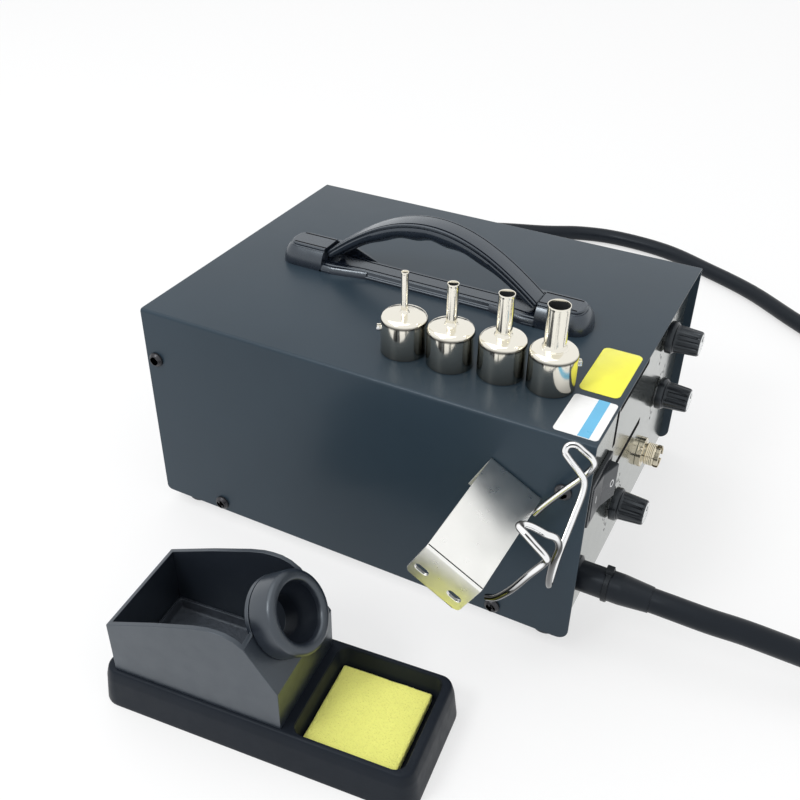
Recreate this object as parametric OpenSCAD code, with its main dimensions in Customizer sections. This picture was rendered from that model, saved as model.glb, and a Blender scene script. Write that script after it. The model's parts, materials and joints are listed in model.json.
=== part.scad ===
// Hot air rework station: a sheet metal housing with its controls, hose and handpiece,
// a plated holder on the left wall, spare nozzles on the cover and a separate iron stand.
// X runs right along the front, Y runs from front to back, Z runs up, and Z = 0 is the bench.

/* [Housing] */
// Outside width of the housing
body_w = 187; // [180:1:200]
// Outside depth of the housing
body_d = 244; // [236:1:260]
// Height of the housing above its feet
body_h = 119.5; // [116:0.5:130]
// Thickness of cover, base and panel sheet
sheet_t = 1.2; // [0.8:0.1:1.6]
// Outside bend radius of the cover's top edges
bend_r = 1.8; // [1.7:0.1:3]
// Radius of the cover's lower front corners
skirt_front_r = 6; // [2:0.5:10]
// Radius of the cover's lower rear corners
skirt_rear_r = 3; // [2:0.5:10]
// Distance from the cover's front edge back to the panel face
front_recess = 4.5; // [3:0.5:8]
// Distance from the cover's rear edge in to the rear panel
rear_recess = 1; // [0.5:0.5:4]
// Depth of the flanges folded from base and panels
flange_w = 14; // [12:1:18]
// Thickness of the glossy front overlay
overlay_t = 0.5; // [0.3:0.1:0.8]

/* [Feet and screws] */
// Height of the rubber feet
foot_h = 7.5; // [6:0.5:12]
// Radius of a foot at the bench
foot_r = 7.5; // [6:0.5:10]
// Distance of the feet in from the housing's sides
foot_in_x = 13; // [12:0.5:20]
// Distance of the feet in from the housing's ends
foot_in_y = 14.5; // [14:0.5:24]
// Radius of the cover screws' heads
screw_head_r = 4; // [3.2:0.1:4.6]
// Height of the cover screws' heads
screw_head_h = 2.5; // [1.6:0.1:3]
// Radius of the cover screws' threads
screw_r = 2; // [1.5:0.1:2.2]
// Height of the upper cover screws above the base
upper_screw_rise = 90.7; // [80:0.1:100]
// Height of the lower cover screws above the base
lower_screw_rise = 5.4; // [5:0.1:7]
// Distance of the lower cover screws from the middle
lower_screw_y = 82.4; // [70:0.1:90]
// Distance of the upper cover screws behind the panel faces
upper_screw_in = 5.5; // [5:0.1:8]

/* [Front panel layout] */
// Upper knob, distance right of the middle
upper_knob_x = 50; // [44:1:60]
// Upper knob, height above the base
upper_knob_rise = 96.5; // [92:0.5:100]
// Middle knob, distance right of the middle
middle_knob_x = 52; // [44:1:60]
// Middle knob, height above the base
middle_knob_rise = 58.5; // [56:0.5:64]
// Lower knob, distance left of the middle
lower_knob_x = 20; // [14:1:26]
// Lower knob, height above the base
lower_knob_rise = 31.5; // [28:0.5:36]
// Power switch, distance left of the middle
switch_x = 62.7; // [56:0.1:66]
// Power switch, height above the base
switch_rise = 72.7; // [66:0.1:78]
// Iron socket, distance right of the middle
socket_x = 29; // [24:1:34]
// Iron socket, height above the base
socket_rise = 32.5; // [28:0.5:36]
// Hose outlet, distance in from the housing's left side
outlet_in = 16.5; // [15.5:0.5:19.5]
// Hose outlet, height above the base
outlet_rise = 29.5; // [28:0.5:31]

/* [Knobs] */
// Radius of a knob's collar
knob_collar_r = 9; // [8.6:0.1:11]
// Depth of a knob's collar
knob_collar_h = 5; // [4.8:0.1:6]
// Radius of the grip next to the collar
knob_grip_r = 7.6; // [7.4:0.1:8.4]
// Radius of the grip at its front
knob_front_r = 6.8; // [6.6:0.1:7.3]
// Distance from the panel to the knob's front
knob_reach = 18.2; // [17:0.1:22]
// Number of flutes round the grip
knob_flutes = 14; // [12:1:24]
// Radius of the flutes
knob_flute_r = 0.45; // [0.3:0.05:0.5]
// Radius of the silver cap
knob_cap_r = 5.7; // [4.5:0.1:5.9]
// Radius of the potentiometer shaft
shaft_r = 3; // [2.5:0.1:3]

/* [Power switch] */
// Width of the switch frame
switch_w = 31.5; // [31:0.1:34]
// Height of the switch frame
switch_h = 25.5; // [25.2:0.1:28]
// Depth of the frame in front of the panel
switch_lip = 2.1; // [1.5:0.1:2.6]
// Half the angle through which the rocker tips
rocker_tilt = 10; // [7:1:11]
// Length of the rocker across its pivot
rocker_len = 24.6; // [22:0.1:24.8]
// Height of the rocker along its pivot
rocker_span = 19.6; // [18:0.1:19.7]

/* [Iron socket] */
// Outside radius of the socket's barrel
socket_r = 6.5; // [6.2:0.1:7]
// Wall of the socket's barrel
socket_wall = 1.3; // [1:0.1:1.6]
// Distance that the barrel stands out of the panel
socket_reach = 12.5; // [9:0.5:14]
// Outside radius of the ring nut
socket_nut_r = 8.5; // [8:0.1:10]
// Thickness of the ring nut
socket_nut_h = 3.2; // [2:0.1:4]

/* [Hose] */
// Radius of the hose
hose_r = 6; // [5:0.5:6]
// Radius of the boot at the panel
boot_r = 7.6; // [7.2:0.1:8.4]
// Radius of the boot at its free end
boot_end_r = 6.4; // [6.2:0.1:7]

/* [Carry handle] */
// Distance of the handle left of the middle
handle_off = 2; // [0:0.5:6]
// Height of the grip's top above the cover at its middle
grip_rise = 38.7; // [34:0.1:44]
// Width of the grip
grip_w = 14.4; // [12:0.1:16]
// Thickness of the grip at its middle
grip_t = 11; // [9:0.1:12]
// Thickness of the grip at its ends
grip_end_t = 7.5; // [6:0.1:8]
// Depth of the finger waves under the grip
grip_wave = 0.8; // [0:0.1:1.2]
// Half the span between the end blocks
handle_span = 56; // [52:1:60]
// Length of an end block
block_len = 30; // [26:1:34]
// Width of an end block at the cover
block_w = 24; // [22:0.5:28]
// Width of an end block on top
block_top_w = 13; // [10:0.5:20]
// Height of an end block
block_h = 11.5; // [11:0.1:14]
// Width of the strip between the end blocks
strip_w = 16; // [12:0.5:20]
// Height of the strip between the end blocks
strip_h = 4; // [3:0.1:5]
// Width of the grooves along the handle's edges
handle_groove_w = 0.7; // [0.4:0.1:1]
// Depth of the grooves along the handle's edges
handle_groove_d = 0.5; // [0.3:0.1:0.8]
// Distance of the grooves in from the handle's edges
handle_groove_in = 0.9; // [0.6:0.1:1.5]

/* [Labels] */
// Thickness of the labels on the cover
label_t = 0.3; // [0.2:0.05:0.4]
// Width of the yellow label
yellow_label_w = 40.4; // [36:0.1:44]
// Depth of the yellow label
yellow_label_d = 19.5; // [17:0.1:21]
// Width of the white label
white_label_w = 30.5; // [26:0.1:33]
// Depth of the white label
white_label_d = 20.5; // [18:0.1:22]

/* [Nozzles] */
// Radius of a nozzle's socket body
nozzle_body_r = 11.4; // [11:0.1:12.5]
// Height of a nozzle's socket body
nozzle_body_h = 20; // [17:0.5:23]
// Overall height of a nozzle
nozzle_h = 42; // [38:0.5:48]
// Wall of a nozzle
nozzle_wall = 0.7; // [0.5:0.05:0.8]
// Outer radius of the first nozzle's tube
nozzle_1_r = 1.75; // [1.6:0.05:2.2]
// Outer radius of the second nozzle's tube
nozzle_2_r = 2.7; // [2.4:0.05:3]
// Outer radius of the third nozzle's tube
nozzle_3_r = 3.8; // [3.4:0.05:4.2]
// Outer radius of the fourth nozzle's tube
nozzle_4_r = 5.2; // [4.8:0.05:5.6]

/* [Holder] */
// Width of the holder's plate
plate_w = 28.9; // [26:0.1:32]
// Length of the holder's plate out from the wall
plate_len = 61.3; // [58:0.1:64]
// Depth of the flange at the plate's outer end
outer_flange = 23; // [20:0.1:24]
// Depth of the flange on the wall
wall_flange = 21.5; // [20:0.1:24]
// Thickness of the holder's plate
plate_t = 1.4; // [1:0.1:1.6]
// Slope of the plate towards the front
plate_slope = 28.6; // [20:0.1:35]
// Droop of the plate's outer end
plate_droop = 5.2; // [2:0.1:8]
// Radius of the holder's wire
wire_r = 1.45; // [1.2:0.05:1.6]

/* [Handpiece] */
// Largest radius of the handpiece
grip_r = 19; // [17:0.5:19]
// Length of the handpiece's moulded handle
handpiece_len = 128; // [120:1:134]
// Outside radius of the steel barrel
barrel_r = 10.6; // [10:0.1:11]
// Wall of the steel barrel
barrel_wall = 0.6; // [0.5:0.05:0.8]
// Length of the barrel in front of its flange
barrel_len = 62; // [50:1:66]

/* [Stand] */
// Length of the stand
stand_len = 156.4; // [152:0.1:164]
// Width of the stand
stand_w = 62.3; // [61:0.1:66]
// Height of the stand's base
stand_h = 20.5; // [19:0.1:23]
// Plan radius of the base's corners
stand_corner = 9; // [6:0.5:12]
// Wall of the moulded base and hood
stand_wall = 2.2; // [1.8:0.1:2.4]
// Length of the hood
hood_len = 84.4; // [82:0.1:86]
// Width of the hood
hood_w = 51.9; // [50:0.1:53]
// Outer radius of the rubber funnel
funnel_r = 20; // [18:0.1:21]
// Radius of the funnel's mouth
funnel_mouth_r = 15; // [13:0.1:16]
// Radius of the funnel's throat
funnel_throat_r = 9; // [8:0.1:10]
// Distance that the funnel stands in front of its panel
funnel_reach = 13; // [11:0.1:15]
// Side length of the sponge
sponge_w = 45; // [40:0.5:45]
// Thickness of the sponge
sponge_t = 5; // [4:0.5:6]

/* [Inside] */
// Width of the transformer's core
core_w = 66; // [60:1:66]
// Height of the transformer's core
core_h = 55; // [50:1:60]
// Stack depth of the transformer's core
core_d = 34; // [30:1:38]
// Length of the air pump's base plate
pump_len = 84; // [82:1:90]
// Width of the air pump's base plate
pump_w = 60; // [56:1:66]
// Height of the pump's rubber mounts
mount_h = 8; // [6:0.5:10]
// Height of the control board above the base
board_rise = 8; // [6:0.5:10]
// Length of the control board
board_len = 96; // [88:1:98]
// Width of the control board
board_w = 66; // [60:1:66]

/* [Hidden] */
$fn = 48;
// Clearance between sheets and fixed parts
seat_gap = 0.15;
// Clearance between parts that move past each other
move_gap = 0.6;
// Radial clearance of a turning pin in its bore
run_gap = 0.05;
// Radial clearance of a screw or pressed shaft in its hole
grip_gap = 0.03;

// Levels and faces of the housing
base_z = foot_h;
pan_top = base_z + sheet_t;
roof_z = base_z + body_h;
side_x = body_w / 2;
front_y = -body_d / 2 + front_recess;
rear_y = body_d / 2 - rear_recess;
inner_x = side_x - sheet_t - seat_gap;
panel_top = roof_z - sheet_t - seat_gap;
plate_back = overlay_t + sheet_t;
flange_top = base_z + flange_w;
upper_screw_z = base_z + upper_screw_rise;
lower_screw_z = base_z + lower_screw_rise;
front_screw_y = front_y + plate_back + upper_screw_in;
rear_screw_y = rear_y - upper_screw_in;
cover_hole_r = screw_r + 0.2;
thread_hole_r = screw_r + grip_gap;
foot_x = side_x - foot_in_x;
foot_y = body_d / 2 - foot_in_y;
foot_screw_r = 1.5;
foot_bore_depth = foot_h - 2.5;

// Places of the controls as [x, z]
upper_knob_at = [upper_knob_x, base_z + upper_knob_rise];
middle_knob_at = [middle_knob_x, base_z + middle_knob_rise];
lower_knob_at = [-lower_knob_x, base_z + lower_knob_rise];
switch_at = [-switch_x, base_z + switch_rise];
socket_at = [socket_x, base_z + socket_rise];
outlet_at = [outlet_in - side_x, base_z + outlet_rise];
knob_places = [upper_knob_at, middle_knob_at, lower_knob_at];

// Potentiometer and knob fits
bushing_r = shaft_r + 0.7;
bushing_reach = 4;
pot_r = 8;
pot_depth = 9;
pot_nut_r = bushing_r + 2;
pot_nut_h = 2;
knob_hollow_r = pot_nut_r + 0.7;
knob_cap_t = 1.2;
knob_cap_proud = 0.4;
shaft_end = knob_reach - knob_cap_t - 2;

// Power switch body behind its frame
switch_wall_x = 0.9;
switch_wall_z = 1.3;
rocker_end_gap = 1.2;
rocker_side_gap = 0.3;
switch_cavity_w = rocker_len + 2 * rocker_end_gap;
switch_cavity_h = rocker_span + 2 * rocker_side_gap;
switch_body_w = switch_cavity_w + 2 * switch_wall_x;
switch_body_h = switch_cavity_h + 2 * switch_wall_z;
switch_depth = 16;
rocker_pivot = -2;
rocker_end_rise = 4.65;
rocker_mid_rise = 3.1;
rocker_hub_r = 4;
rocker_pin_r = 1.2;
rocker_pin_len = 0.9;

// Outlet fitting behind the panel
outlet_r = 6.8;
outlet_back = 14;
air_bore_r = 3.5;
flange_disc_r = outlet_r + 2.6;
flange_disc_t = 2;

// Handle along Y, measured from the cover's top
handle_x = -handle_off;
grip_half = handle_span + 5;
grip_drop = 31.1;
grip_flare = 3.35;
grip_scale = handle_span + 4;
grip_slot_depth = 6;
handle_screw_y = handle_span + block_len / 2 + 3;
strip_flare = 17;
strip_groove_end = handle_span - strip_flare;

// Corners of the labels nearest to the housing's left front corner
yellow_label_at = [38.5 - side_x, 2.5 - body_d / 2];
white_label_at = [3.5 - side_x, 1 - body_d / 2];

// Nozzle places on the cover, in from its left side and its front edge
nozzle_in = [[29.9, 106.9], [30.5, 82.8], [33.6, 58], [35.1, 34]];
nozzle_places = [for (p = nozzle_in) [p[0] - side_x, p[1] - body_d / 2]];
nozzle_turns = [117, 30, 30, 297];
lug_out = 2.4;
lug_t = 1.1;
lug_h = 3.4;
lug_z = 11;
lug_screw_r = 0.8;
lug_head_r = 1.5;
lug_head_h = 1;
lug_bite = 0.05;
slit_w = 1;

// Holder frame: a runs down the slope, y runs into the wall, z stands off the plate
holder_y = front_y + 41.6;
holder_z = base_z + 97.35;
slot_len = 7;
slot_r = 1.9;
holder_screw_a = [7, plate_w - 7];
holder_screw_drop = 13;
// Wire of the holder as [out from the plate's front edge, out from the wall, off the plate]
wire_mid = 34.5;
wire_half = [
    [1.6, 7.7, -3], [1.7, 7.8, 6], [2.5, 8.3, 20], [3.5, 8.8, 34],
    [3.4, 9.2, 43.5], [1.1, 9.4, 46.8], [-3.9, 9.4, 47.4], [-7.9, 9.6, 47.5],
    [-10.3, 11, 45.8], [-9.5, 12.4, 43.3], [-5.9, 12.9, 42], [0.1, 13.1, 40.2],
    [4.3, 13.4, 38.2], [7.5, 14.6, 33], [11.6, 18.2, 22.5], [17.6, 26, 7.5],
    [21.7, 32, -0.6], [22.7, 34.5, -2]
];
wire_sides = 8;

// Handpiece along Y behind the right wall
hand_x = 140;
hand_tail_y = 118;
hand_flange_t = 3;
hand_flange_r = 15;
boot_tail_len = 22;
shell_gap = 0.03;

// Stand frame: u runs to the front, v runs away from the nozzle side
stand_at = [-217.74, 51.03];
stand_turn = 5.34;
base_u0 = -8.7;
base_v0 = -4.7;
shoulder_z = stand_h - 5.5;
shoulder_in = 1.7;
rim_in = 3.4;
well_u0 = 88.8;
well_v0 = 0.8;
well_u1 = base_u0 + stand_len - 7.2;
well_v1 = base_v0 + stand_w - 5.3;
well_floor = 6;
well_draft = 1.8;
well_corner = 5;
sponge_gap = 0.4;
tray_ledge = 1.2;
tray_depth = 5.5;
foot_groove_w = 0.8;
foot_groove_d = 1.2;
hood_back_top = 49.5;
hood_peak = [hood_len - 28, 68.6];
hood_slope_top = [hood_len - 14.4, 64];
hood_slope_low = [hood_len, 42.8];
slope_run = hood_slope_low - hood_slope_top;
slope_dir = slope_run / norm(slope_run);
slope_normal = [-slope_dir[1], slope_dir[0]];
funnel_tilt = atan2(slope_normal[1], slope_normal[0]);
funnel_at = hood_slope_top + 5 * slope_dir;
funnel_v = hood_w / 2;
funnel_neck_r = funnel_throat_r + 2.4;
ear_r = funnel_r - 1.5;

// Inside: places of transformer, pump and board, and how far the first two stay off the walls
inside_gap = 7;
core_at = [side_x - inside_gap - core_w / 2, rear_y - 38 - core_d / 2];
core_leg = 11;
core_foot_w = 8;
core_foot_t = 2;
core_foot_out = 10;
core_screw_r = 1.75;
core_screw_places = [for (s = [-1, 1], t = [-1, 1]) [
    core_at[0] + s * (core_w / 2 - core_foot_w / 2), core_at[1] + t * (core_d / 2 + core_foot_out * 0.6)
]];
coil_gap = 0.3;
pump_at = [inside_gap - side_x + pump_len / 2, rear_y - 39 - pump_w / 2];
pump_plate_t = 3;
pump_floor = pan_top + mount_h + pump_plate_t;
chamber_w = 24;
chamber_d = 46;
chamber_h = 40;
diaphragm_r = 15.5;
diaphragm_deep = 6;
stud_r = 4;
stud_reach = 4;
arm_t = 4;
arm_w = 14;
arm_h = 40;
arm_pin_r = 1.5;
arm_pin_z = pump_floor + 5;
arm_gap = 1;
arm_x = pump_at[0] - pump_len / 2 + chamber_w + stud_reach + arm_gap;
magnet_t = 5;
nipple_r = 4;
nipple_len = 10;
nipple_at = [pump_at[0] - pump_len / 2 + chamber_w / 2, pump_at[1] - chamber_d / 2, pump_floor + 22];
board_at = [side_x - 10.5 - board_w / 2, front_y + 20.5 + board_len / 2];
board_t = 1.6;

// Route of the air tube inside, a gentle S from the pump's nipple to the outlet
air_start = [nipple_at[0], nipple_at[1] - nipple_len, nipple_at[2]];
air_end = [outlet_at[0], front_y + outlet_back, outlet_at[1]];
air_steps = 6;
air_route = [for (i = [0:air_steps]) let(t = i / air_steps, s = t * t * (3 - 2 * t)) [
    air_start[0] + s * (air_end[0] - air_start[0]),
    air_start[1] + t * (air_end[1] - air_start[1]),
    air_start[2] + s * (air_end[2] - air_start[2])
]];
air_tube_r = 5;

// Route of the hose, from the boot over the bench to the handpiece
hose_route = [
    [-77, -155, 37], [-77, -165, 36.9], [-75.6, -182, 35.3], [-72, -199, 32.5],
    [-67, -223, 27], [-59, -248, 18.5], [-46, -272, 10], [-22, -298, 6.3],
    [15, -321, 6.3], [62, -334, 6.3], [112, -332, 6.3], [160, -314, 6.3],
    [204, -280, 6.3], [244, -228, 6.3], [285, -171, 6.3], [317, -130, 6.3],
    [339, -89, 6.3], [356, -51, 6.3], [361, -8, 6.3], [355, 24, 6.3],
    [341, 53, 6.3], [326, 92, 6.3], [304, 133, 6.3], [279, 165, 6.3],
    [250, 189, 6.4], [224, 205, 6.9], [200, 210, 8.4], [177, 205, 11],
    [158, 193, 14], [146, 177, 16.8], [141, 161.5, 18.6], [140, 150, 19],
    [140, 145, 19], [140, 140, 19]
];
hose_sides = 12;
// Length of the boot in front of the panel, up to where the hose begins
boot_len = front_y - hose_route[0][1];

// Points of a smooth curve through a list of points, with k steps a stretch
function curve_point(a, b, c, d, t) = 0.5 * (2 * b + (c - a) * t
    + (2 * a - 5 * b + 4 * c - d) * t * t + (3 * b - a - 3 * c + d) * t * t * t);
function smooth(p, k) = let(n = len(p)) concat(
    [for (i = [0:n - 2], s = [0:k - 1])
        curve_point(p[max(i - 1, 0)], p[i], p[i + 1], p[min(i + 2, n - 1)], s / k)],
    [p[n - 1]]);
function unit(v) = v / norm(v);
function tangents(p) = let(n = len(p)) [for (i = [0:n - 1])
    unit(p[min(i + 1, n - 1)] - p[max(i - 1, 0)])];
function carry(v, t) = unit(v - (v * t) * t);
function normals(t, v, i = 0, out = []) = i == len(t) ? out
    : let(w = carry(i == 0 ? v : out[i - 1], t[i])) normals(t, v, i + 1, concat(out, [w]));

// A closed tube of radius r along the points p
module tube(p, r, sides, up = [0, 0, 1]) {
    n = len(p);
    t = tangents(p);
    v = normals(t, up);
    rings = [for (i = [0:n - 1], j = [0:sides - 1])
        let(a = 360 * j / sides) p[i] + r * (cos(a) * v[i] + sin(a) * cross(t[i], v[i]))];
    walls = [for (i = [0:n - 2], j = [0:sides - 1])
        let(q = (j + 1) % sides)
        [i * sides + j, (i + 1) * sides + j, (i + 1) * sides + q, i * sides + q]];
    caps = [[for (j = [0:sides - 1]) j], [for (j = [0:sides - 1]) n * sides - 1 - j]];
    polyhedron(points = rings, faces = concat(walls, caps));
}

// A flat outline with rounded corners, lower corner at the origin
module round_rect(w, h, r) {
    union() {
        translate([r, 0]) square([w - 2 * r, h]);
        translate([0, r]) square([w, h - 2 * r]);
        for (x = [r, w - r], y = [r, h - r]) translate([x, y]) circle(r = r, $fn = 32);
    }
}

// A box centred on x and y that stands on z
module centred_box(w, d, h) {
    translate([-w / 2, -d / 2, 0]) cube([w, d, h]);
}

// Children drawn on the front panel, with x to the right, y up and z out of the panel
module on_panel(at) {
    translate([at[0], front_y, at[1]]) rotate([90, 0, 0]) children();
}

// Children drawn on the left wall (side = -1) or right wall (side = 1), z pointing out
module on_side(side, y, z) {
    translate([side * side_x, y, z]) rotate([0, side * 90, 0]) children();
}

// A pan head screw whose head stands on z = 0
module pan_screw(r, head_r, head_h, len) {
    difference() {
        union() {
            cylinder(h = head_h * 0.45, r = head_r);
            translate([0, 0, head_h * 0.45]) cylinder(h = head_h * 0.55, r1 = head_r, r2 = head_r * 0.68);
            translate([0, 0, -len]) cylinder(h = len + head_h * 0.3, r = r);
        }
        for (a = [0, 90]) rotate([0, 0, a]) translate([-head_r * 0.55, -0.45, head_h * 0.5])
            cube([head_r * 1.1, 0.9, head_h]);
    }
}

// The places of the eight cover screws as [side, y, z]
cover_screw_places = [for (s = [-1, 1], p = [
    [front_screw_y, upper_screw_z], [rear_screw_y, upper_screw_z],
    [-lower_screw_y, lower_screw_z], [lower_screw_y, lower_screw_z]
]) [s, p[0], p[1]]];

// Holes drilled inwards from both side walls
module side_drills(r, depth) {
    for (p = cover_screw_places) on_side(p[0], p[1], p[2])
        translate([0, 0, -depth]) cylinder(h = depth + 1, r = r, $fn = 24);
}

// Vent slots of the base sheet and the rear panel
base_vent_w = 2.4;
base_vent_len = 18;
base_vent_pitch = 6;
base_vent_rows = [-24, 2];
rear_vent_w = 3;
rear_vent_h = 16;
rear_vent_pitch = 7;
rear_vent_rises = [62, 84];

// The U-shaped base sheet with its turned-up sides and vent slots
module base_pan() {
    pan_front = front_y + overlay_t + seat_gap;
    pan_back = rear_y - seat_gap;
    flange_front = front_y + plate_back + seat_gap;
    flange_back = rear_y - sheet_t - seat_gap;
    color("silver") difference() {
        union() {
            translate([-inner_x, pan_front, base_z]) cube([2 * inner_x, pan_back - pan_front, sheet_t]);
            for (s = [-1, 1]) translate([s * (inner_x - sheet_t / 2) - sheet_t / 2, flange_front, base_z])
                cube([sheet_t, flange_back - flange_front, flange_w]);
        }
        side_drills(thread_hole_r, flange_w);
        for (x = [-foot_x, foot_x], y = [-foot_y, foot_y])
            translate([x, y, base_z - 1]) cylinder(h = sheet_t + 2, r = foot_screw_r + 0.1, $fn = 24);
        for (i = [-7:7], y = base_vent_rows)
            translate([i * base_vent_pitch - base_vent_w / 2, y - base_vent_len / 2, base_z - 1])
                cube([base_vent_w, base_vent_len, sheet_t + 2]);
        for (p = core_screw_places) translate([p[0], p[1], base_z - 1])
            cylinder(h = sheet_t + 2, r = core_screw_r + grip_gap, $fn = 24);
    }
}

// Foot screws: their heads, their nuts and the room for these in the panels' lips
foot_bore_r = 3.3;
foot_head_r = 2.8;
foot_head_h = 1.8;
foot_nut_r = 3;
foot_nut_h = 2.2;
foot_nut_room_r = 3.4;
foot_nut_room_h = 8;

// All openings of the front panel, each widened by a clearance
module panel_openings(c) {
    for (p = knob_places) translate(p) circle(r = bushing_r + c, $fn = 32);
    translate(switch_at) translate([-switch_body_w / 2 - c, -switch_body_h / 2 - c])
        square([switch_body_w + 2 * c, switch_body_h + 2 * c]);
    translate(socket_at) circle(r = socket_r + c);
    translate(outlet_at) circle(r = outlet_r + c);
}

// Outline of the front and rear panels in x and z
module panel_outline() {
    translate([-inner_x, pan_top + seat_gap]) square([2 * inner_x, panel_top - pan_top - seat_gap]);
}

// Side flanges and bottom lip of a panel whose sheet's outer face is at y = 0, folding to +y
module panel_flanges() {
    for (s = [-1, 1]) translate([s * (inner_x - sheet_t / 2) - sheet_t / 2, 0, flange_top + seat_gap])
        cube([sheet_t, flange_w, panel_top - flange_top - seat_gap]);
    translate([-inner_x + 2 * sheet_t + 1, 0, pan_top + seat_gap])
        cube([2 * inner_x - 4 * sheet_t - 2, flange_w - 2, sheet_t]);
}

// The sheet metal front panel behind the overlay
module front_panel() {
    color("gray") difference() {
        union() {
            translate([0, front_y + plate_back, 0]) rotate([90, 0, 0])
                linear_extrude(height = sheet_t) difference() {
                    panel_outline();
                    panel_openings(0.1);
                }
            translate([0, front_y + overlay_t, 0]) panel_flanges();
        }
        side_drills(thread_hole_r, flange_w);
        for (x = [-foot_x, foot_x]) translate([x, -foot_y, base_z])
            cylinder(h = foot_nut_room_h, r = foot_nut_room_r, $fn = 24);
    }
}

// The glossy overlay on the front panel
module front_overlay() {
    color("lightgray") translate([0, front_y + overlay_t, 0]) rotate([90, 0, 0])
        linear_extrude(height = overlay_t) difference() {
            panel_outline();
            panel_openings(0.15);
        }
}

// Mains inlet: flange, body and where they sit on the rear panel
inlet_at = [52, base_z + 30];
inlet_body_w = 27.4;
inlet_body_h = 19.6;
inlet_flange_w = 49;
inlet_flange_h = 22.5;
inlet_pitch = 40;
inlet_screw_r = 1.5;

// The rear panel with its vents and the inlet's opening
module rear_panel() {
    color("gray") difference() {
        union() {
            translate([0, rear_y, 0]) rotate([90, 0, 0])
                linear_extrude(height = sheet_t) difference() {
                    panel_outline();
                    translate([inlet_at[0] - inlet_body_w / 2 - 0.2, inlet_at[1] - inlet_body_h / 2 - 0.2])
                        square([inlet_body_w + 0.4, inlet_body_h + 0.4]);
                    for (s = [-1, 1]) translate([inlet_at[0] + s * inlet_pitch / 2, inlet_at[1]])
                        circle(r = inlet_screw_r + grip_gap, $fn = 24);
                    for (i = [-9:2], rise = rear_vent_rises) translate([i * rear_vent_pitch, base_z + rise])
                        round_rect(rear_vent_w, rear_vent_h, rear_vent_w / 2 - 0.1);
                }
            translate([0, rear_y, 0]) mirror([0, 1, 0]) panel_flanges();
        }
        side_drills(thread_hole_r, flange_w);
        for (x = [-foot_x, foot_x]) translate([x, foot_y, base_z])
            cylinder(h = foot_nut_room_h, r = foot_nut_room_r, $fn = 24);
    }
}

// Outline of the cover's bend seen from the front, h high over z = 0
module roof_outline(w, h, r) {
    union() {
        translate([-w / 2, 0]) square([w, h - r]);
        translate([-w / 2 + r, 0]) square([w - 2 * r, h]);
        for (s = [-1, 1]) translate([s * (w / 2 - r), h - r]) circle(r = r, $fn = 32);
    }
}

// A cutter that leaves a round lower corner of radius r on a side wall
module skirt_cut(r, end) {
    translate([0, end * body_d / 2, base_z]) rotate([90, 0, 90])
        linear_extrude(height = body_w + 2, center = true) difference() {
            translate([end > 0 ? -r : -1, -1]) square([r + 1, r + 1]);
            translate([-end * r, r]) circle(r = r);
        }
}

// The cover that forms the roof and both side walls
module cover_hood() {
    color("#2b2f3a") difference() {
        translate([0, body_d / 2, base_z]) rotate([90, 0, 0]) linear_extrude(height = body_d)
            difference() {
                roof_outline(body_w, body_h, bend_r);
                translate([0, -1]) roof_outline(body_w - 2 * sheet_t, body_h - sheet_t + 1, bend_r - sheet_t);
            }
        side_drills(cover_hole_r, flange_w);
        skirt_cut(skirt_front_r, -1);
        skirt_cut(skirt_rear_r, 1);
        for (s = [-1, 1]) translate([handle_x, s * handle_screw_y, roof_z - 4])
            cylinder(h = 6, r = cover_hole_r, $fn = 24);
        in_wall_frame() for (a = holder_screw_a) translate([a, 0, -holder_screw_drop])
            rotate([90, 0, 0]) cylinder(h = 8, r = cover_hole_r, center = true, $fn = 24);
    }
}

// The screws that hold the cover to base and panels
module cover_screws() {
    color("#17181a") for (p = cover_screw_places) on_side(p[0], p[1], p[2])
        pan_screw(screw_r, screw_head_r, screw_head_h, 6);
}

// Four rubber feet, each with a hollow for its screw
module feet() {
    color("#202124") for (x = [-foot_x, foot_x], y = [-foot_y, foot_y]) translate([x, y, 0])
        difference() {
            cylinder(h = foot_h, r1 = foot_r, r2 = foot_r + 1);
            translate([0, 0, -1]) cylinder(h = foot_bore_depth + 1, r = foot_bore_r, $fn = 32);
            cylinder(h = foot_h + 1, r = foot_screw_r + grip_gap, $fn = 24);
        }
}

// The screws and nuts that hold the feet to the base
module foot_screws() {
    color("silver") for (x = [-foot_x, foot_x], y = [-foot_y, foot_y]) translate([x, y, 0]) {
        translate([0, 0, foot_bore_depth]) mirror([0, 0, 1])
            pan_screw(foot_screw_r, foot_head_r, foot_head_h,
                foot_h - foot_bore_depth + sheet_t + foot_nut_h + 1);
        translate([0, 0, pan_top]) difference() {
            cylinder(h = foot_nut_h, r = foot_nut_r, $fn = 6);
            translate([0, 0, -1]) cylinder(h = foot_nut_h + 2, r = foot_screw_r + grip_gap, $fn = 24);
        }
    }
}

// Height of the grip's top and underside above the cover at y
function grip_top(y) = let(t = y / grip_scale) grip_rise - grip_drop * t * t + grip_flare * t * t * t * t;
function grip_under(y) = let(f = abs(y) / grip_half) grip_top(y)
    - (grip_t + (grip_end_t - grip_t) * f * f) + grip_wave * (1 - f) * cos(y * 360 / 22);

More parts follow.
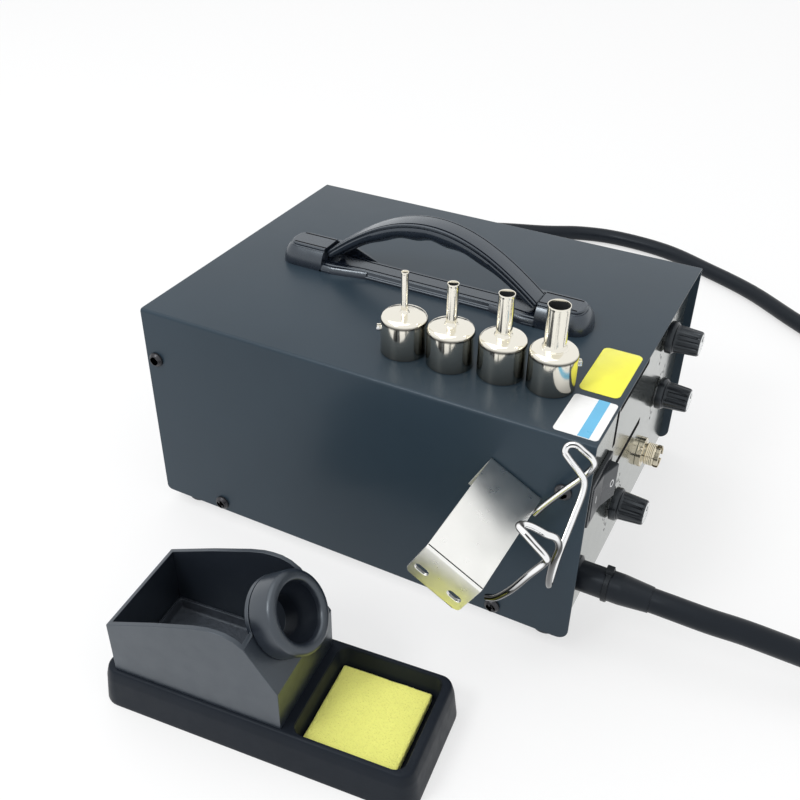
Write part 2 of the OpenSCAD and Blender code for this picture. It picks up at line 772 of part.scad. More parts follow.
// An end block of the handle, on the rear side (s = 1) or front side (s = -1)
module end_block(s) {
    inner = s * handle_span;
    outer = s * (handle_span + block_len);
    difference() {
        hull() {
            translate([-block_w / 2, min(inner, outer - s * block_w / 2), 0])
                cube([block_w, block_len - block_w / 2, 1]);
            translate([0, outer - s * block_w / 2, 0]) cylinder(h = 1, r = block_w / 2, $fn = 32);
            for (p = [[block_w - 2, 5], [block_w - 6, 9], [block_top_w, block_h - 0.5]]) {
                translate([-p[0] / 2, min(inner, outer - s * block_w / 2), p[1] - 0.5])
                    cube([p[0], block_len - block_w / 2, 0.5]);
                translate([0, outer - s * block_w / 2, p[1]]) cylinder(h = 0.5, r = p[0] / 2, $fn = 32);
            }
        }
        translate([0, s * handle_screw_y, -1]) cylinder(h = block_h - 2, r = thread_hole_r, $fn = 24);
        translate([-grip_w / 2 - seat_gap, min(inner - s, inner + s * grip_slot_depth), 0])
            translate([0, 0, grip_under(grip_half) - 1 - seat_gap])
                cube([grip_w + 2 * seat_gap, grip_slot_depth + 1, block_h + 10]);
        groove_pair(block_top_w, min(inner - 1, outer - s * block_w / 2), block_len - block_w / 2 + 1, block_h);
    }
}

// Two grooves along a flat top w wide and len long that lies at height h, from y on
module groove_pair(w, y, len, h) {
    edge = w / 2 - handle_groove_in;
    for (x = [-edge, edge - handle_groove_w]) translate([x, y, h - handle_groove_d])
        cube([handle_groove_w, len, handle_groove_d + 1]);
}

// The handle's base: two end blocks joined by a low ridged strip that flares towards them
module handle_base() {
    color("#1b1c20") translate([handle_x, 0, roof_z]) union() {
        end_block(1);
        end_block(-1);
        difference() {
            translate([-strip_w / 2, -handle_span - 1, 0]) cube([strip_w, 2 * handle_span + 2, strip_h]);
            groove_pair(strip_w, -strip_groove_end, 2 * strip_groove_end, strip_h);
        }
        for (s = [-1, 1]) linear_extrude(height = strip_h) polygon([
            [-block_w / 2, s * handle_span], [block_w / 2, s * handle_span],
            [strip_w / 2, s * (handle_span - strip_flare)], [-strip_w / 2, s * (handle_span - strip_flare)]
        ]);
    }
}

// The arched grip with finger waves along its underside
module handle_grip() {
    steps = 40;
    ys = [for (i = [0:steps]) -grip_half + 2 * grip_half * i / steps];
    outline = concat([for (y = ys) [y, grip_top(y)]],
        [for (i = [steps:-1:0]) [ys[i], grip_under(ys[i])]]);
    groove = concat([for (y = ys) [y, grip_top(y) + 1]],
        [for (i = [steps:-1:0]) [ys[i], grip_top(ys[i]) - handle_groove_d]]);
    edge = grip_w / 2 - handle_groove_in;
    color("#1b1c20") translate([handle_x, 0, roof_z]) rotate([90, 0, 90]) difference() {
        linear_extrude(height = grip_w, center = true) polygon(outline);
        for (x = [-edge, edge - handle_groove_w]) translate([0, 0, x])
            linear_extrude(height = handle_groove_w) polygon(groove);
    }
}

// The screws that hold the end blocks, put in from inside the cover
module handle_screws() {
    color("silver") for (s = [-1, 1]) translate([handle_x, s * handle_screw_y, roof_z - sheet_t])
        mirror([0, 0, 1]) pan_screw(screw_r, screw_head_r, screw_head_h, sheet_t + block_h - 4);
}

// The yellow label on the cover, blank
module yellow_label() {
    color("#f2e21a") translate([yellow_label_at[0], yellow_label_at[1], roof_z])
        linear_extrude(height = label_t) round_rect(yellow_label_w, yellow_label_d, 3);
}

// The white label on the cover, blank
module white_label() {
    color("white") translate([white_label_at[0], white_label_at[1], roof_z])
        linear_extrude(height = label_t) round_rect(white_label_w, white_label_d, 1.5);
}

// The potentiometers behind the panel, each with its threaded neck and nut
module potentiometers() {
    color("#5a6a78") for (p = knob_places) on_panel(p) {
        difference() {
            union() {
                translate([0, 0, -plate_back - pot_depth]) cylinder(h = pot_depth, r = pot_r);
                translate([-6.5, -pot_r - 4.5, -plate_back - pot_depth + 2]) cube([13, 8, 1.6]);
                translate([0, 0, -plate_back - 1]) cylinder(h = plate_back + 1 + bushing_reach, r = bushing_r);
            }
            translate([0, 0, -plate_back - pot_depth + 1.5])
                cylinder(h = pot_depth + bushing_reach + 4, r = shaft_r + run_gap);
        }
        difference() {
            cylinder(h = pot_nut_h, r = pot_nut_r, $fn = 6);
            translate([0, 0, -1]) cylinder(h = pot_nut_h + 2, r = bushing_r + grip_gap);
        }
    }
}

// A shaft that turns in a potentiometer's neck and carries a knob
module knob_shaft(at) {
    start = -plate_back - pot_depth + 2;
    color("silver") on_panel(at) translate([0, 0, start]) cylinder(h = shaft_end - start, r = shaft_r);
}

// A control knob with a collar, a fluted grip and a seat for its cap
module control_knob(at) {
    color("#141517") on_panel(at) difference() {
        union() {
            translate([0, 0, move_gap]) cylinder(h = knob_collar_h - move_gap - 0.8, r = knob_collar_r);
            translate([0, 0, knob_collar_h - 0.8])
                cylinder(h = 0.8, r1 = knob_collar_r, r2 = knob_collar_r - 0.8);
            translate([0, 0, knob_collar_h])
                cylinder(h = knob_reach - knob_collar_h, r1 = knob_grip_r, r2 = knob_front_r);
        }
        for (i = [0:knob_flutes - 1]) rotate([0, 0, 360 * i / knob_flutes])
            translate([knob_grip_r + 0.1, 0, knob_collar_h + 0.6])
                cylinder(h = knob_reach - knob_collar_h - 1.8, r = knob_flute_r, $fn = 13);
        translate([0, 0, -1]) cylinder(h = bushing_reach + 1 + move_gap, r = knob_hollow_r);
        translate([0, 0, 1]) cylinder(h = shaft_end + 0.5 - 1, r = shaft_r + grip_gap);
        translate([0, 0, knob_reach - knob_cap_t]) cylinder(h = knob_cap_t + 1, r = knob_cap_r + grip_gap);
    }
}

// The silver cap in the front of a knob, with its pointer groove
module knob_cap(at) {
    color("silver") on_panel(at) translate([0, 0, knob_reach - knob_cap_t]) difference() {
        cylinder(h = knob_cap_t + knob_cap_proud, r = knob_cap_r);
        translate([-0.5, knob_cap_r * 0.35, knob_cap_t]) cube([1, knob_cap_r, 2]);
    }
}

// Frame and body of the power switch, with the bores for the rocker's pins
module rocker_frame() {
    color("#17181a") on_panel(switch_at) difference() {
        union() {
            translate([0, 0, -switch_depth]) centred_box(switch_body_w, switch_body_h, switch_depth + 1);
            translate([-switch_w / 2, -switch_h / 2, 0]) linear_extrude(height = switch_lip)
                round_rect(switch_w, switch_h, 1.5);
            for (x = [-9, 0, 9]) translate([x, 0, -switch_depth - 8]) centred_box(0.8, 6.3, 9);
        }
        translate([0, 0, -switch_depth + 4]) centred_box(switch_cavity_w, switch_cavity_h, 40);
        translate([0, 0, rocker_pivot]) rotate([90, 0, 0])
            cylinder(h = rocker_span + 2 * rocker_pin_len + 0.4, r = rocker_pin_r + run_gap,
                center = true, $fn = 32);
    }
}

// The rocker, tipped with its right end out
module rocker_paddle() {
    half = rocker_len / 2;
    color("#2a2c31") on_panel(switch_at) translate([0, 0, rocker_pivot]) rotate([0, -rocker_tilt, 0])
        union() {
            rotate([90, 0, 0]) linear_extrude(height = rocker_span, center = true) union() {
                polygon([
                    [-half, 0], [half, 0], [half, rocker_end_rise - rocker_pivot],
                    [0, rocker_mid_rise - rocker_pivot], [-half, rocker_end_rise - rocker_pivot]
                ]);
                circle(r = rocker_hub_r, $fn = 32);
            }
            rotate([90, 0, 0])
                cylinder(h = rocker_span + 2 * rocker_pin_len, r = rocker_pin_r, center = true, $fn = 32);
        }
}

// The plated barrel of the iron socket, with its key slot
module socket_barrel() {
    color("#c9c2ae") on_panel(socket_at) difference() {
        union() {
            translate([0, 0, -8]) cylinder(h = 8 + socket_reach, r = socket_r);
            translate([0, 0, -plate_back - 2.5]) cylinder(h = 2.5, r = socket_r + 2);
        }
        translate([0, 0, -9]) cylinder(h = 10 + socket_reach, r = socket_r - socket_wall);
        for (a = [90, 210, 330]) rotate([0, 0, a]) translate([0, -1.2, socket_reach - 3])
            cube([socket_r + 1, 2.4, 4]);
    }
}

// The socket's insulating insert with its contact holes
module socket_insert() {
    color("#1d1e20") on_panel(socket_at) difference() {
        translate([0, 0, -8]) cylinder(h = 8 + socket_reach - 4, r = socket_r - socket_wall - grip_gap);
        for (i = [0:4]) rotate([0, 0, 54 + 63 * i]) translate([3, 0, socket_reach - 11])
            cylinder(h = 8, r = 0.8, $fn = 16);
    }
}

// The ring nut of the socket, with four spanner notches
module socket_nut() {
    color("#c9c2ae") on_panel(socket_at) difference() {
        cylinder(h = socket_nut_h, r = socket_nut_r);
        translate([0, 0, -1]) cylinder(h = socket_nut_h + 2, r = socket_r + grip_gap);
        for (a = [0:90:270]) rotate([0, 0, a + 45]) translate([socket_nut_r - 1, -1, 1])
            cube([3, 2, socket_nut_h]);
    }
}

// The rubber boot of the hose with the outlet fitting through the panel
module hose_boot() {
    color("#151618") on_panel(outlet_at) rotate_extrude() polygon([
        [air_bore_r, -outlet_back], [outlet_r, -outlet_back],
        [outlet_r, -plate_back - flange_disc_t], [flange_disc_r, -plate_back - flange_disc_t],
        [flange_disc_r, -plate_back], [outlet_r, -plate_back], [outlet_r, 0],
        [flange_disc_r, 0], [flange_disc_r, 1.2], [boot_r, 2.4],
        [boot_r, boot_len * 0.62], [boot_end_r, boot_len], [air_bore_r, boot_len]
    ]);
}

// The tie round the boot, with its head on top
module hose_tie() {
    tie_at = 15;
    color("#101113") on_panel(outlet_at) translate([0, 0, tie_at]) union() {
        difference() {
            cylinder(h = 2.6, r = boot_r + 0.9);
            translate([0, 0, -1]) cylinder(h = 5, r = boot_r + grip_gap);
        }
        translate([-2.2, boot_r + 0.4, -0.6]) cube([4.4, 2.8, 3.8]);
    }
}

// The air hose from the boot to the handpiece
module hose() {
    color("#191a1c") tube(smooth(hose_route, 2), hose_r, hose_sides);
}

// The tube inside that joins the pump to the outlet
module air_tube() {
    color("#cfd3d6") tube(smooth(air_route, 3), air_tube_r, hose_sides);
}

// The laminated core of the transformer on its two mounting feet
module transformer_core() {
    color("#5c5f63") translate([core_at[0], core_at[1], pan_top]) union() {
        difference() {
            centred_box(core_w, core_d, core_h);
            for (s = [-1, 1]) translate([s * (core_w / 4), 0, core_leg])
                centred_box(core_w / 2 - 2 * core_leg, core_d + 2, core_h - 2 * core_leg);
        }
        for (s = [-1, 1]) translate([s * (core_w / 2 - core_foot_w / 2), 0, 0]) difference() {
            centred_box(core_foot_w, core_d + 2 * core_foot_out, core_foot_t);
            for (t = [-1, 1]) translate([0, t * (core_d / 2 + core_foot_out * 0.6), -1])
                cylinder(h = core_foot_t + 2, r = core_screw_r + grip_gap, $fn = 24);
        }
    }
}

// The screws that hold the transformer's feet down
module transformer_screws() {
    color("silver") for (p = core_screw_places) translate([p[0], p[1], pan_top + core_foot_t])
        pan_screw(core_screw_r, 3.2, 2, core_foot_t + sheet_t);
}

// The winding round the transformer's middle leg
module transformer_coil() {
    coil_out = core_leg + (core_w / 2 - 2 * core_leg) - coil_gap;
    color("#c46a2a") translate([core_at[0], core_at[1], pan_top + core_leg + coil_gap]) difference() {
        centred_box(2 * coil_out, core_d + 20, core_h - 2 * core_leg - 2 * coil_gap);
        translate([0, 0, -1]) centred_box(2 * core_leg + 2 * coil_gap, core_d + 2 * coil_gap, core_h);
    }
}

// The pump's base plate with its valve chamber, outlet nipple and hinge posts
module pump_case() {
    color("#8f9499") difference() {
        union() {
            translate([pump_at[0], pump_at[1], pan_top + mount_h]) centred_box(pump_len, pump_w, pump_plate_t);
            translate([pump_at[0] - pump_len / 2, pump_at[1] - chamber_d / 2, pump_floor])
                cube([chamber_w, chamber_d, chamber_h]);
            translate([nipple_at[0], nipple_at[1] + 1, nipple_at[2]]) rotate([90, 0, 0])
                cylinder(h = nipple_len + 1, r = nipple_r);
            for (s = [-1, 1]) translate([arm_x - 3, pump_at[1] + s * (arm_w / 2 + 3.5) - 3, pump_floor])
                cube([10, 6, 10]);
        }
        translate([pump_at[0] - pump_len / 2 + chamber_w - diaphragm_deep, pump_at[1], nipple_at[2]])
            rotate([0, 90, 0]) cylinder(h = diaphragm_deep + 1, r = diaphragm_r + seat_gap);
        translate([arm_x + arm_t / 2, pump_at[1], arm_pin_z]) rotate([90, 0, 0])
            cylinder(h = arm_w + 10, r = arm_pin_r + run_gap, center = true, $fn = 32);
    }
}

// The rubber diaphragm in its seat, with the stud towards the arm
module pump_diaphragm() {
    seat_x = pump_at[0] - pump_len / 2 + chamber_w - diaphragm_deep;
    color("#2a2420") translate([seat_x, pump_at[1], nipple_at[2]])
        rotate([0, 90, 0]) union() {
            cylinder(h = diaphragm_deep, r = diaphragm_r);
            cylinder(h = diaphragm_deep + stud_reach, r = stud_r);
        }
}

// The arm with its magnet and hinge pin
module pump_arm() {
    color("#b8bcc0") union() {
        translate([arm_x, pump_at[1] - arm_w / 2, pump_floor + 1]) cube([arm_t, arm_w, arm_h]);
        translate([arm_x + arm_t, pump_at[1] - arm_w / 2, nipple_at[2] - 8]) cube([magnet_t, arm_w, 16]);
        translate([arm_x + arm_t / 2, pump_at[1], arm_pin_z]) rotate([90, 0, 0])
            cylinder(h = arm_w + 8, r = arm_pin_r, center = true, $fn = 32);
    }
}

// Electromagnet of the pump: yoke, core and winding
yoke_w = 32;
yoke_h = 36;
yoke_t = 8;
yoke_core_r = 6;
yoke_winding_r = 9.8;

// The electromagnet that drives the arm
module pump_coil() {
    coil_x = arm_x + arm_t + magnet_t + 1.5;
    coil_len = pump_at[0] + pump_len / 2 - coil_x - 1;
    color("#b5622a") translate([coil_x, pump_at[1], pump_floor]) union() {
        for (z = [0, yoke_h - yoke_t]) translate([0, -yoke_w / 2, z]) cube([coil_len, yoke_w, yoke_t]);
        translate([coil_len - yoke_t, -yoke_w / 2, 0]) cube([yoke_t, yoke_w, yoke_h]);
        translate([0, 0, yoke_h / 2]) rotate([0, 90, 0]) cylinder(h = coil_len - 2, r = yoke_core_r);
        translate([4, 0, yoke_h / 2]) rotate([0, 90, 0])
            cylinder(h = coil_len - 4 - yoke_t, r = yoke_winding_r);
    }
}

// Rubber mounts between pump and base
module pump_mounts() {
    color("#202124") for (x = [-1, 1], y = [-1, 1])
        translate([pump_at[0] + x * (pump_len / 2 - 8), pump_at[1] + y * (pump_w / 2 - 8), pan_top]) union() {
            cylinder(h = mount_h, r = 4.5);
            cylinder(h = 2.5, r = 6.5);
            translate([0, 0, mount_h - 2]) cylinder(h = 2, r = 6.5);
        }
}

// What stands on the control board, each as [x, y] from its middle and [width, depth, height]
board_hole_in = 5;
heat_sink_at = [-10, 24];
heat_sink_size = [22, 24, 3];
fin_t = 1.6;
fin_h = 22;
fin_pitch = 4;
capacitors_at = [[18, -30], [18, -12]];
capacitor_r = 6.5;
capacitor_h = 21;
board_blocks = [
    [[-14, -8], [19, 15.5, 15]],
    [[-12, -32], [10, 28, 4]],
    [[20, 20], [9, 38, 10]]
];

// The control board with its heat sink, capacitors, relay, driver and terminals
module control_board() {
    color("#2f6b3a") translate([board_at[0], board_at[1], pan_top + board_rise]) union() {
        difference() {
            centred_box(board_w, board_len, board_t);
            for (x = [-1, 1], y = [-1, 1])
                translate([x * (board_w / 2 - board_hole_in), y * (board_len / 2 - board_hole_in), -1])
                    cylinder(h = board_t + 2, r = standoff_screw_r + grip_gap, $fn = 24);
        }
        translate([heat_sink_at[0], heat_sink_at[1], board_t]) {
            centred_box(heat_sink_size[0], heat_sink_size[1], heat_sink_size[2]);
            for (i = [-2.5:2.5]) translate([i * fin_pitch, 0, 0]) centred_box(fin_t, heat_sink_size[1], fin_h);
        }
        for (p = capacitors_at) translate([p[0], p[1], board_t]) cylinder(h = capacitor_h, r = capacitor_r);
        for (b = board_blocks) translate([b[0][0], b[0][1], board_t]) centred_box(b[1][0], b[1][1], b[1][2]);
    }
}

// Standoffs with their screws under the control board
standoff_r = 2.6;
standoff_screw_r = 1.5;
standoff_head_r = 2.7;
standoff_head_h = 1.8;
module board_standoffs() {
    color("silver") for (x = [-1, 1], y = [-1, 1])
        translate([board_at[0] + x * (board_w / 2 - board_hole_in),
            board_at[1] + y * (board_len / 2 - board_hole_in), pan_top]) union() {
            cylinder(h = board_rise, r = standoff_r, $fn = 6);
            cylinder(h = board_rise + board_t + 0.1, r = standoff_screw_r, $fn = 24);
            translate([0, 0, board_rise + board_t + 0.05])
                cylinder(h = standoff_head_h, r = standoff_head_r, $fn = 24);
        }
}

// The mains inlet with its shroud, three pins and two screws
module mains_inlet() {
    color("#17181a") translate([inlet_at[0], rear_y, inlet_at[1]]) rotate([-90, 0, 0]) union() {
        difference() {
            union() {
                translate([-inlet_flange_w / 2, -inlet_flange_h / 2, 0]) linear_extrude(height = 2.6)
                    round_rect(inlet_flange_w, inlet_flange_h, 3);
                translate([0, 0, -21]) centred_box(inlet_body_w, inlet_body_h, 22);
            }
            translate([-12, -7.7, -15]) linear_extrude(height = 20)
                polygon([[0, 0], [24, 0], [24, 11.4], [20, 15.4], [4, 15.4], [0, 11.4]]);
            for (s = [-1, 1]) translate([s * inlet_pitch / 2, 0, -1])
                cylinder(h = 5, r = inlet_screw_r + grip_gap, $fn = 24);
        }
        for (p = [[-7, 1.8], [0, -2], [7, 1.8]]) translate([p[0], p[1], -16]) centred_box(2, 4, 14.5);
        for (s = [-1, 1]) translate([s * inlet_pitch / 2, 0, 2.6])
            pan_screw(inlet_screw_r, 2.7, 1.6, 7);
    }
}

// Children drawn in the holder's frame on the wall: x down the slope, y into the wall
module in_wall_frame() {
    translate([-side_x, holder_y, holder_z]) rotate([plate_slope, 0, 0]) rotate([0, 0, -90]) children();
}

// Children drawn on the drooping plate
module in_plate_frame() {
    in_wall_frame() rotate([plate_droop, 0, 0]) children();
}

// The bent holder plate: wall flange, plate and slotted outer flange
module holder_plate() {
    color("#e8e8ea") difference() {
        union() {
            in_wall_frame() translate([0, -plate_t, -wall_flange]) cube([plate_w, plate_t, wall_flange]);
            in_plate_frame() {
                translate([0, -plate_len, -plate_t]) cube([plate_w, plate_len, plate_t]);
                translate([0, -plate_len, -outer_flange]) rotate([90, 0, 0]) translate([0, 0, -plate_t])
                    linear_extrude(height = plate_t) union() {
                        round_rect(plate_w, outer_flange, 3);
                        translate([0, outer_flange / 2]) square([plate_w, outer_flange / 2]);
                    }
            }
        }
        in_plate_frame() for (a = [7.5, plate_w - 7.5]) translate([a, -plate_len, -outer_flange * 0.42])
            rotate([90, 0, 0]) linear_extrude(height = 8, center = true) union() {
                for (s = [-1, 1]) translate([s * (slot_len / 2 - slot_r), 0]) circle(r = slot_r, $fn = 24);
                square([slot_len - 2 * slot_r, 2 * slot_r], center = true);
            }
        in_wall_frame() for (a = holder_screw_a) translate([a, 0, -holder_screw_drop])
            rotate([90, 0, 0]) cylinder(h = 8, r = screw_r + 0.1, center = true, $fn = 24);
        translate([-side_x, holder_y - plate_len, base_z]) cube([plate_len, 2 * plate_len, body_h]);
    }
}

// The bent wire cradle welded along the plate's front edge
module holder_wire() {
    left = [for (p = wire_half) [p[0] + plate_w, -p[1], p[2]]];
    n = len(wire_half);
    right = [for (i = [n - 2:-1:0]) let(p = wire_half[i]) [p[0] + plate_w, p[1] - 2 * wire_mid, p[2]]];
    color("#e8e8ea") in_plate_frame() tube(smooth(concat(left, right), 3), wire_r, wire_sides, [1, 0, 0]);
}

// The screws and nuts that hold the plate to the wall
module holder_screws() {
    color("silver") in_wall_frame() for (a = holder_screw_a) translate([a, -plate_t, -holder_screw_drop])
        rotate([90, 0, 0]) {
            pan_screw(screw_r, 3.4, 2, plate_t + sheet_t + 4.5);
            translate([0, 0, -plate_t - sheet_t - 3 - 0.05]) difference() {
                cylinder(h = 3, r = 4, $fn = 6);
                translate([0, 0, -1]) cylinder(h = 5, r = screw_r + grip_gap, $fn = 24);
            }
        }
}

// A nozzle standing on its socket: rolled foot, body, domed shoulder, collar and tube
module air_nozzle(i, tube_r) {
    b = nozzle_body_r;
    w = nozzle_wall;
    h = nozzle_body_h;
    top = nozzle_h;
    collar = tube_r + 0.9;
    turn = nozzle_turns[i];
    color("#d9dadc") translate([nozzle_places[i][0], nozzle_places[i][1], roof_z]) union() {
        difference() {
            rotate_extrude() polygon([
                [b - w, 0], [b + 0.2, 0], [b + 0.2, 0.6], [b, 0.9], [b, h - 1.5], [b - 0.35, h - 0.7],
                [b - 1.1, h - 0.15], [b - 2.6, h + 0.15], [collar + 0.6, h + 0.7], [collar, h + 1.2],
                [collar, h + 2.6], [tube_r, h + 3.4], [tube_r, top], [tube_r - w, top],
                [tube_r - w, h - w], [b - 2, h - w], [b - w - 0.4, h - w - 0.5], [b - w, h - w - 1.2]
            ]);
            rotate([0, 0, turn]) translate([b - 3, -slit_w / 2, -1]) cube([6, slit_w, lug_z + lug_h + 2.5]);
        }
        rotate([0, 0, turn]) difference() {
            for (s = [-1, 1]) translate([b - 0.4, s * (slit_w + lug_t) / 2 - lug_t / 2, lug_z])
                cube([lug_out + 0.4, lug_t, lug_h]);
            translate([b + lug_out / 2, 0, lug_z + lug_h / 2]) rotate([90, 0, 0])
                cylinder(h = 20, r = lug_screw_r + grip_gap, center = true, $fn = 24);
        }
        rotate([0, 0, turn]) translate([b + lug_out / 2, slit_w / 2 + lug_t - lug_bite, lug_z + lug_h / 2])
            rotate([-90, 0, 0]) pan_screw(lug_screw_r, lug_head_r, lug_head_h, slit_w + 2 * lug_t + 1);
    }
}

// Children drawn in the stand's frame: x runs along u to the front, y along v
module in_stand() {
    translate([stand_at[0], stand_at[1], 0]) rotate([0, 0, stand_turn - 90]) children();
}

// A thin rounded slab of the base, inset by c, with its lower face at z
module base_slab(c, z) {
    translate([base_u0 + c, base_v0 + c, z]) linear_extrude(height = 0.4)
        round_rect(stand_len - 2 * c, stand_w - 2 * c, stand_corner - c / 2);
}

// The moulded base with its sponge well and tray, hollow from below
module stand_base() {
    well_w = well_u1 - well_u0;
    well_d = well_v1 - well_v0;
    s = stand_wall;
    tray_in = s + tray_ledge;
    color("#26282c") in_stand() difference() {
        hull() {
            base_slab(0, 0);
            base_slab(shoulder_in, shoulder_z);
            base_slab(rim_in, stand_h - 0.4);
        }
        difference() {
            hull() {
                base_slab(s, -1);
                base_slab(s + shoulder_in, shoulder_z - s);
                base_slab(s + rim_in, stand_h - s - 0.4);
            }
            translate([well_u0 - s, base_v0, well_floor - s]) cube([well_w + 2 * s, stand_w, stand_h]);
            translate([tray_ledge, tray_ledge, stand_h - tray_depth - s])
                cube([hood_len - 2 * tray_ledge, hood_w - 2 * tray_ledge, stand_h]);
        }
        hull() {
            translate([well_u0 + well_draft, well_v0 + well_draft, well_floor]) linear_extrude(height = 0.4)
                round_rect(well_w - 2 * well_draft, well_d - 2 * well_draft, well_corner - 1);
            translate([well_u0, well_v0, stand_h + 1]) linear_extrude(height = 0.4)
                round_rect(well_w, well_d, well_corner);
        }
        translate([tray_in, tray_in, stand_h - tray_depth]) linear_extrude(height = tray_depth + 1)
            round_rect(hood_len - 2 * tray_in, hood_w - 2 * tray_in, 1.5);
        translate([0, 0, stand_h - foot_groove_d]) linear_extrude(height = foot_groove_d + 1) difference() {
            translate([-foot_groove_w, -foot_groove_w])
                square([hood_len + 2 * foot_groove_w, hood_w + 2 * foot_groove_w]);
            square([hood_len, hood_w]);
        }
    }
}

// Side profile of the hood in u and z, with its curved crown
hood_profile = [
    [0, stand_h], [0, hood_back_top], [hood_len - 59.5, 59.3], [hood_len - 39.4, 66.4],
    [hood_len - 32.4, 68.2], hood_peak, [hood_len - 23.4, 68.4], [hood_len - 18.9, 67],
    hood_slope_top, hood_slope_low, [hood_len, stand_h]
];

// The open hood with its sloping front and the round ear behind the funnel
module stand_hood() {
    s = stand_wall;
    low_u = hood_len - s;
    inner_top = hood_slope_top - s * slope_normal;
    inner_low = [low_u, inner_top[1] + (low_u - inner_top[0]) * slope_dir[1] / slope_dir[0]];
    color("#26282c") in_stand() difference() {
        union() {
            difference() {
                translate([0, hood_w, 0]) rotate([90, 0, 0]) linear_extrude(height = hood_w)
                    polygon(hood_profile);
                translate([0, hood_w - s, 0]) rotate([90, 0, 0]) linear_extrude(height = hood_w - 2 * s)
                    polygon([
                        [s, stand_h - 1], [low_u, stand_h - 1], inner_low, inner_top,
                        [inner_top[0], 120], [s, 120]
                    ]);
            }
            on_slope(-s) cylinder(h = s, r = ear_r);
        }
        on_slope(-s - 6) cylinder(h = s + 12, r = funnel_neck_r + seat_gap);
    }
}

// Children drawn on the hood's slope round the funnel's axis, d in front of its face
module on_slope(d) {
    translate([funnel_at[0] + d * slope_normal[0], funnel_v, funnel_at[1] + d * slope_normal[1]])
        rotate([0, 90 - funnel_tilt, 0]) children();
}

// The rubber funnel that takes the iron's tip
module stand_funnel() {
    f = funnel_reach;
    color("#1a1b1e") in_stand() on_slope(0) rotate_extrude() polygon([
        [funnel_throat_r, -stand_wall - 3.4], [funnel_neck_r, -stand_wall - 3.4],
        [funnel_neck_r + 1.6, -stand_wall - seat_gap], [funnel_neck_r, -stand_wall - seat_gap],
        [funnel_neck_r, seat_gap], [funnel_r - 1, seat_gap], [funnel_r, 1.4], [funnel_r, f - 5],
        [funnel_r - 0.5, f - 2.6], [funnel_r - 1.8, f - 0.9], [funnel_r - 3.2, f],
        [funnel_mouth_r + 0.8, f - 0.2], [funnel_mouth_r, f - 1],
        [funnel_mouth_r - 2.4, f - 4.5], [funnel_throat_r + 1, f - 9], [funnel_throat_r, f - 11]
    ]);
}

// The sponge in its well
module stand_sponge() {
    color("#f4ef38") in_stand() translate([
        well_u0 + well_draft + sponge_gap, well_v1 - well_draft - sponge_gap - sponge_w, well_floor + 0.4
    ]) linear_extrude(height = sponge_t) round_rect(sponge_w, sponge_w, well_corner - 1 - sponge_gap);
}

// Outside of the handpiece's moulded handle as [radius, distance from the tail]
function handle_profile() = let(L = handpiece_len, R = grip_r) [
    [0, 0], [R - 7.5, 0], [R - 6.5, 1.2], [R - 5.2, 16], [R - 3.6, 40], [R - 3, 62],
    [R - 3.2, 84], [R - 1.6, L - 30], [R - 0.3, L - 22], [R, L - 18], [R, L - 6],
    [R - 1.2, L - 2], [R - 3, L], [0, L]
];

// Children drawn along the handpiece, z running from its tail to its front
module on_handpiece(d) {
    translate([hand_x, hand_tail_y - d, grip_r]) rotate([90, 0, 0]) children();
}

// One half of the handpiece's handle, left (s = -1) or right (s = 1)
module handpiece_half(s) {
    L = handpiece_len;
    R = grip_r;
    on_handpiece(0) difference() {
        rotate_extrude() polygon(handle_profile());
        translate([0, 0, 2.2]) cylinder(h = L - 24, r = R - 7.6);
        translate([0, 0, L - 24]) cylinder(h = 21.5, r = R - 3.6);
        translate([0, 0, L - 4]) cylinder(h = 5, r = barrel_r + 1);
        translate([0, 0, -1]) cylinder(h = 5, r = hose_r + 0.4);
        translate([s > 0 ? shell_gap - 2 * R : -shell_gap, -R - 1, -1]) cube([2 * R, 2 * R + 2, L + 2]);
        for (i = [0:5]) translate([0, 0, 46 + i * 6]) rotate_extrude()
            translate([R - 2.4, 0]) circle(r = 0.7, $fn = 16);
    }
}

module handpiece_shell_left() {
    color("#1a1b1e") handpiece_half(-1);
}

module handpiece_shell_right() {
    color("#1a1b1e") handpiece_half(1);
}

// The steel barrel with its flange inside the handle and its rim for the nozzles
module handpiece_barrel() {
    L = handpiece_len;
    color("#b9bcc0") on_handpiece(0) difference() {
        union() {
            translate([0, 0, L - 20]) cylinder(h = 21 + 1, r = barrel_r - 0.2);
            translate([0, 0, L + 1]) cylinder(h = barrel_len - 1, r = barrel_r);
            translate([0, 0, L - 4 - hand_flange_t]) cylinder(h = hand_flange_t, r = hand_flange_r);
        }
        translate([0, 0, L - 21]) cylinder(h = 25 + barrel_len, r = barrel_r - barrel_wall);
        for (i = [0:7]) rotate([0, 0, 45 * i]) translate([0, 0, L + 6]) rotate([0, 90, 0])
            cylinder(h = 20, r = 1.5, $fn = 24);
    }
}

// The ceramic heater core inside the barrel, carried by its mica disc
module handpiece_heater() {
    L = handpiece_len;
    color("#d8d2c4") on_handpiece(0) difference() {
        union() {
            translate([0, 0, L - 19]) cylinder(h = 10 + barrel_len, r = 6.5);
            translate([0, 0, L - 19]) cylinder(h = 3, r = barrel_r - barrel_wall - seat_gap);
            translate([0, 0, L + 16]) cylinder(h = 2, r = barrel_r - barrel_wall - seat_gap);
        }
        for (i = [0:5]) rotate([0, 0, 60 * i]) translate([4, 0, L - 20])
            cylinder(h = 20 + barrel_len, r = 1.3, $fn = 16);
    }
}

